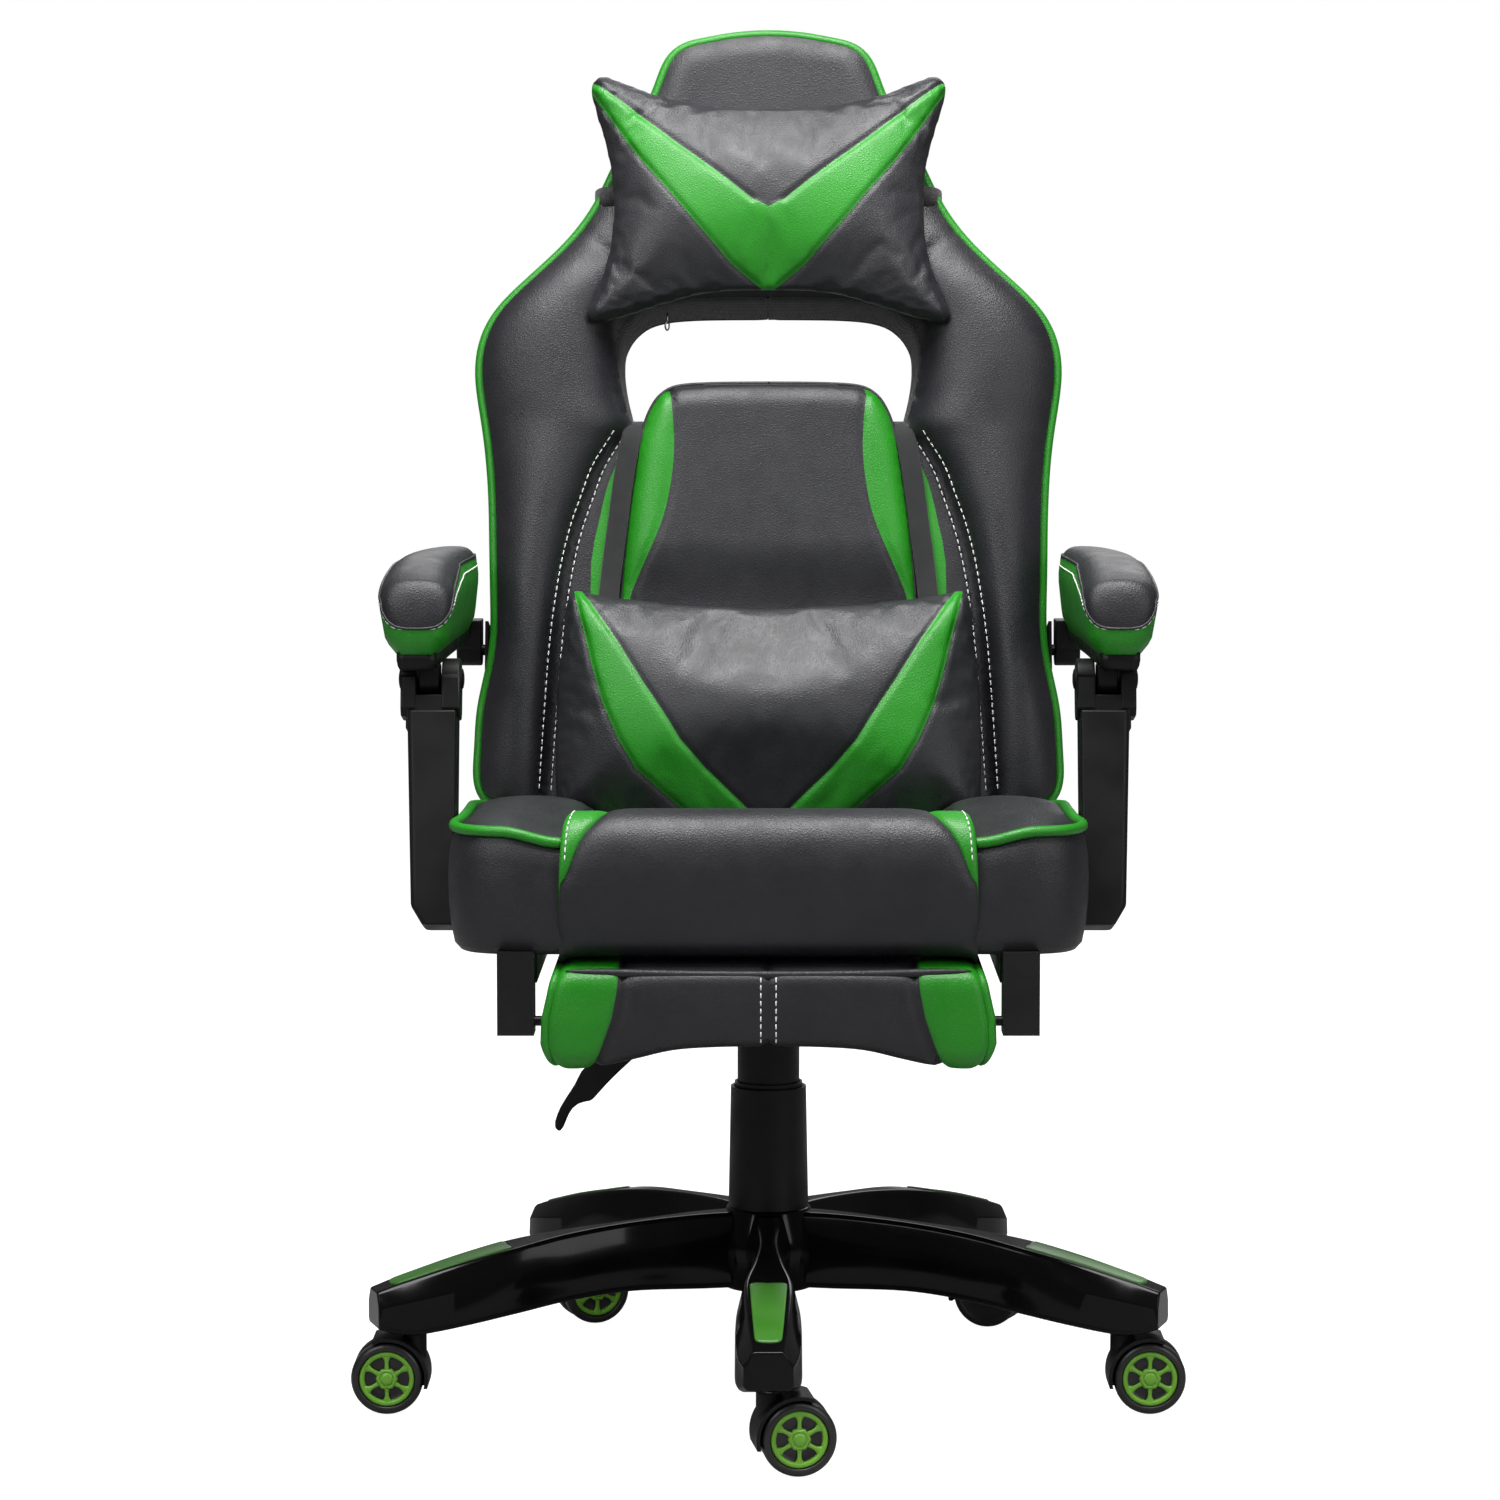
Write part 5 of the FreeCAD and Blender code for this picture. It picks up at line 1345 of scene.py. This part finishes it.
# each leg's angle, its caster's heading and the side that its spoked cap faces
LEGS = {"front": (0, 8, -1), "right": (72, 0, -1), "rear_right": (144, 338, 1),
        "rear_left": (216, 20, -1), "left": (288, 180, 1)}
leg_low = curve([(10, 88), (60, 88.5), (125, 90), (180, 86.5), (225, 80), (270, 73), (309, 68),
                 (330, 69), (347, 74)])
leg_high = curve([(10, 152), (60, 152), (125, 148), (180, 142.5), (225, 135), (270, 125),
                  (309, 114.5), (330, 108.5), (347, 103)])
leg_fold = curve([(10, 128), (60, 124), (125, 120), (180, 117), (225, 112), (270, 105), (309, 99),
                  (330, 95), (347, 91)])
leg_base_half = curve([(10, 19), (60, 16), (125, 13.5), (180, 19), (225, 24), (270, 26.5),
                       (309, 26.5), (330, 24), (347, 19)])
leg_fold_half = curve([(10, 22), (60, 18), (125, 15), (180, 20), (225, 25), (270, 26.5), (309, 26),
                       (330, 23.5), (347, 18.5)])
leg_top_half = curve([(10, 14), (60, 9.5), (125, 7), (180, 12), (225, 19), (270, 18), (309, 16),
                      (330, 14.5), (347, 13)])


def leg_ways(angle):
    """The directions out along a leg and across it."""
    way = math.radians(angle)
    return (np.array([math.sin(way), -math.cos(way), 0]),
            np.array([math.cos(way), math.sin(way), 0]))


def star():
    """Five arched legs round a hub, each with a fold along its flanks."""
    shape = Shape()
    reaches = np.concatenate([np.arange(16, 340, 9), [341, 345]])
    for angle, _, _ in LEGS.values():
        out, over = leg_ways(angle)
        rings = []
        for reach in reaches:
            low, fold, high = leg_low(reach), leg_fold(reach), leg_high(reach)
            base, wide, top = leg_base_half(reach), leg_fold_half(reach), leg_top_half(reach)
            half = [(-base + 3, low), (base - 3, low), (base, low + 4), (wide, fold),
                    (top + 1.0, high - 2.5), (top - 1.5, high), (-top + 1.5, high),
                    (-top - 1.0, high - 2.5), (-wide, fold), (-base, low + 4)]
            rings.append(np.array([out * reach + over * x + np.array([0, 0, z]) for x, z in half]))
        shape.rings(rings, caps=(True, True))
    hub = Shape().lathe([(25.2, 86), (38, 86), (42, 92), (45, 108), (46.5, 122), (43, 136), (38.5, 147),
                         (36.5, 152.5), (35, 155), (25.2, 155)], 80)
    shape.join(hub)
    piece("base_star", shape, "base", gloss_nylon, None, ["star_base"], bevel=1.6)


def star_inserts():
    """The coloured plates let into the tops of the legs."""
    plates = Shape()
    for angle, _, _ in LEGS.values():
        out, over = leg_ways(angle)
        plan = spline([(230, 0), (229, 9), (231, 14.2), (235, 15), (280, 13.2), (322, 11), (328, 9.8),
                       (330, 6), (330.5, 0), (330, -6), (328, -9.8), (322, -11), (280, -13.2),
                       (235, -15), (231, -14.2), (229, -9)], 3.0, closed=True)
        rings = []
        for inset, lift in ((0.0, -0.8), (0.0, 0.6), (0.7, 1.1), (2.0, 1.3)):
            flat = offset(plan, inset)
            rings.append(np.array([out * r + over * x + np.array([0, 0, leg_high(r) + lift])
                                   for r, x in flat]))
        plates.rings(rings, caps=(False, True))
    piece("leg_inserts", plates, "base", insert_plastic, None, ["base_inserts"])


star()
star_inserts()


# ---------------------------------------------------------------- casters

# the axle sits behind the stem by the trail, one wheel radius up; stems stand this far out, in metres
TRAIL, AXLE_UP, STEM_OUT = 22.0, 30.0, 0.310


def wheel_profile(capped):
    """Radius and distance outwards from the caster's middle, for one wheel."""
    face = [(23.6, 20.6), (23.2, 19.0), (22.6, 16.4), (8.0, 16.2), (7.0, 17.0), (0.01, 17.2)]
    plain = [(23.6, 20.6), (22.6, 19.6), (12.0, 19.2), (10.0, 20.2), (0.01, 20.4)]
    tyre = [(0.01, 4.0), (24.0, 4.0), (27.5, 4.4), (29.4, 6.2), (30.0, 9.0), (30.0, 16.0),
            (29.5, 18.6), (28.0, 20.4), (26.0, 21.0), (24.4, 21.0)]
    return tyre + (face if capped else plain)


def wheel_cap():
    """A rim with six flared spokes and a lobed boss."""
    shape = Shape().lathe([(18.4, 16.4), (18.6, 18.6), (19.2, 19.6), (21.6, 20.0), (22.6, 19.4),
                           (23.0, 17.0), (22.8, 16.4)], 72)
    turns = np.linspace(0, 2 * math.pi, 72, endpoint=False)
    lobes = 1 + 0.07 * np.cos(turns * 6)
    rings = []
    for radius, level in ((8.4, 16.4), (8.4, 19.4), (7.6, 20.4), (6.2, 20.6), (5.9, 20.1), (5.4, 20.0),
                          (5.1, 20.6), (3.0, 21.2)):
        size = radius * (lobes if radius > 6 else 1.0)
        rings.append(np.column_stack([size * np.cos(turns), size * np.sin(turns),
                                      np.full(len(turns), level)]))
    shape.rings(rings, caps=(False, True))
    half = curve([(7, 2.6), (9, 1.9), (12, 1.55), (15, 1.8), (17.5, 3.0), (19, 4.4)])
    for spoke in range(6):
        turn = Matrix.Rotation(math.radians(60 * spoke + 30), 4, "Z")
        rings = []
        for reach in np.linspace(7.0, 19.2, 9):
            wide = half(reach)
            rings.append(np.array([(reach, -wide, 16.4), (reach, -wide, 18.8), (reach, -wide * 0.6, 19.5),
                                   (reach, wide * 0.6, 19.5), (reach, wide, 18.8), (reach, wide, 16.4)]))
        shape.join(Shape().rings(rings).moved(turn))
    return shape


def on_axle(side):
    """From a wheel's own axis to the caster's axle, facing one side."""
    return Matrix.Translation((TRAIL, 0, AXLE_UP)) @ Matrix.Rotation(math.radians(-90 * side), 4, "X")


def casters():
    """The wheels of each caster, and the spoked cap on the side that the photo shows."""
    for name, (leg, yaw, capped) in LEGS.items():
        way = math.radians(leg)
        stand = Matrix.Translation((STEM_OUT * math.sin(way), -STEM_OUT * math.cos(way), 0)) \
            @ Matrix.Rotation(math.radians(yaw), 4, "Z")
        tyres = Shape()
        for side in (-1, 1):
            wheel = Shape().lathe(wheel_profile(side == capped), 72)
            tyres.join(wheel.moved(on_axle(side)))
        piece(f"tyres_{name}", tyres, f"caster_{name}_wheels", tread, stand,
              [f"caster_{name}_wheels"])
        cap = wheel_cap().moved(on_axle(capped))
        piece(f"wheel_cap_{name}", cap, f"caster_{name}_wheels", green_plastic, stand,
              [f"caster_{name}_cap"])


casters()

# ---------------------------------------------------------------- carried-over parts

FINISHES = {
    "black_leather": black_leather,
    "black_plastic": black_plastic,
    "base_nylon": gloss_nylon,
    "green_plastic": green_plastic,
    "wheel_tread": tread,
    "black_steel": painted_steel,
    "bright_steel": bright_steel,
    "plywood": plywood,
}


def finish_of(node):
    """The record's material slot for a CAD node."""
    for entry in frame["record"]["subparts"]:
        if entry["node"] == node:
            return entry["material_slot"]
    return None


for node_name, node in frame["nodes"].items():
    finish = FINISHES.get(finish_of(node_name), black_plastic)
    if not node.data.materials:
        node.data.materials.append(finish)
    for index in range(len(node.material_slots)):
        node.material_slots[index].link = "OBJECT"
        node.material_slots[index].material = finish


# ---------------------------------------------------------------- studio

LIGHTS = (("key", (-1.9, -2.6, 2.6), 0.6, (1.3, 2.0), 48), ("fill", (2.3, -2.4, 1.7), 0.6, (1.1, 2.0), 26),
          ("overhead", (0, -0.7, 3.1), 0.5, (2.0, 1.4), 150), ("rear", (0.4, 3.0, 2.4), 0.6, (2.6, 2.0), 40))
# how bright the floor and the backdrop look to the camera, and how much light the backdrop gives
FLOOR_GLOW, BACKDROP, DAYLIGHT = 0.97, 1.0, 0.13
FLOOR_HALF, FLOOR_UP = 9.0, -0.001
PHOTO_LENS, PHOTO_SHIFT, PHOTO_PITCH = 108.6, -0.0123, 85


def area_light(name, place, aim_up, size, power):
    """A soft box that faces a point on the column's axis."""
    data = bpy.data.lights.new(name, "AREA")
    data.shape = "RECTANGLE"
    data.size, data.size_y = size
    data.energy = power
    made = linked(name, data)
    made.location = place
    made.rotation_euler = (Vector(place) - Vector((0, 0, aim_up))).to_track_quat("Z", "Y").to_euler()


def floor():
    """A pale sheet of paper under the chair."""
    corners = [(x * FLOOR_HALF, y * FLOOR_HALF, FLOOR_UP) for x, y in ((-1, -1), (1, -1), (1, 1), (-1, 1))]
    mesh = bpy.data.meshes.new("floor")
    mesh.from_pydata(corners, [], [(0, 1, 2, 3)])
    paint = Paint("floor_paper", Specular_IOR_Level=0.1, Emission_Color=tint(1, 1, 1))
    seen = paint.add("ShaderNodeLightPath").outputs["Is Camera Ray"]
    paint.feed(paint.shader.inputs["Emission Strength"], paint.math("MULTIPLY", seen, FLOOR_GLOW))
    shade = paint.spread(paint.noise(3.0, 2.0), 0.0, 1.0)
    paint.wear(paint.mix(shade, tint(0.30, 0.30, 0.30), tint(0.34, 0.34, 0.34)), 0.9,
               paint.bump(paint.noise(300.0), 0.05, 0.0002))
    mesh.materials.append(paint.material)
    linked("floor", mesh)


def backdrop():
    """A white world that gives the chair only a little light."""
    world = bpy.data.worlds.new("studio")
    world.use_nodes = True
    nodes, links = world.node_tree.nodes, world.node_tree.links
    path, blend = nodes.new("ShaderNodeLightPath"), nodes.new("ShaderNodeMixShader")
    links.new(path.outputs["Is Camera Ray"], blend.inputs[0])
    for socket, sky, strength in ((1, nodes["Background"], DAYLIGHT),
                                  (2, nodes.new("ShaderNodeBackground"), BACKDROP)):
        sky.inputs[0].default_value = tint(1, 1, 1)
        sky.inputs[1].default_value = strength
        links.new(sky.outputs[0], blend.inputs[socket])
    links.new(blend.outputs[0], nodes["World Output"].inputs[0])
    bpy.context.scene.world = world
    bpy.context.scene.view_settings.view_transform = "Standard"


def camera():
    """The camera at the photograph's place, lens and pitch."""
    data = bpy.data.cameras.new("camera")
    data.sensor_width = 36.0
    data.lens = PHOTO_LENS
    data.shift_x = PHOTO_SHIFT
    made = linked("camera", data)
    made.location = (0.0, -3.811, 0.8776)
    made.rotation_euler = (math.radians(PHOTO_PITCH), 0, 0)
    bpy.context.scene.camera = made


floor()
for lamp in LIGHTS:
    area_light(*lamp)
backdrop()
camera()
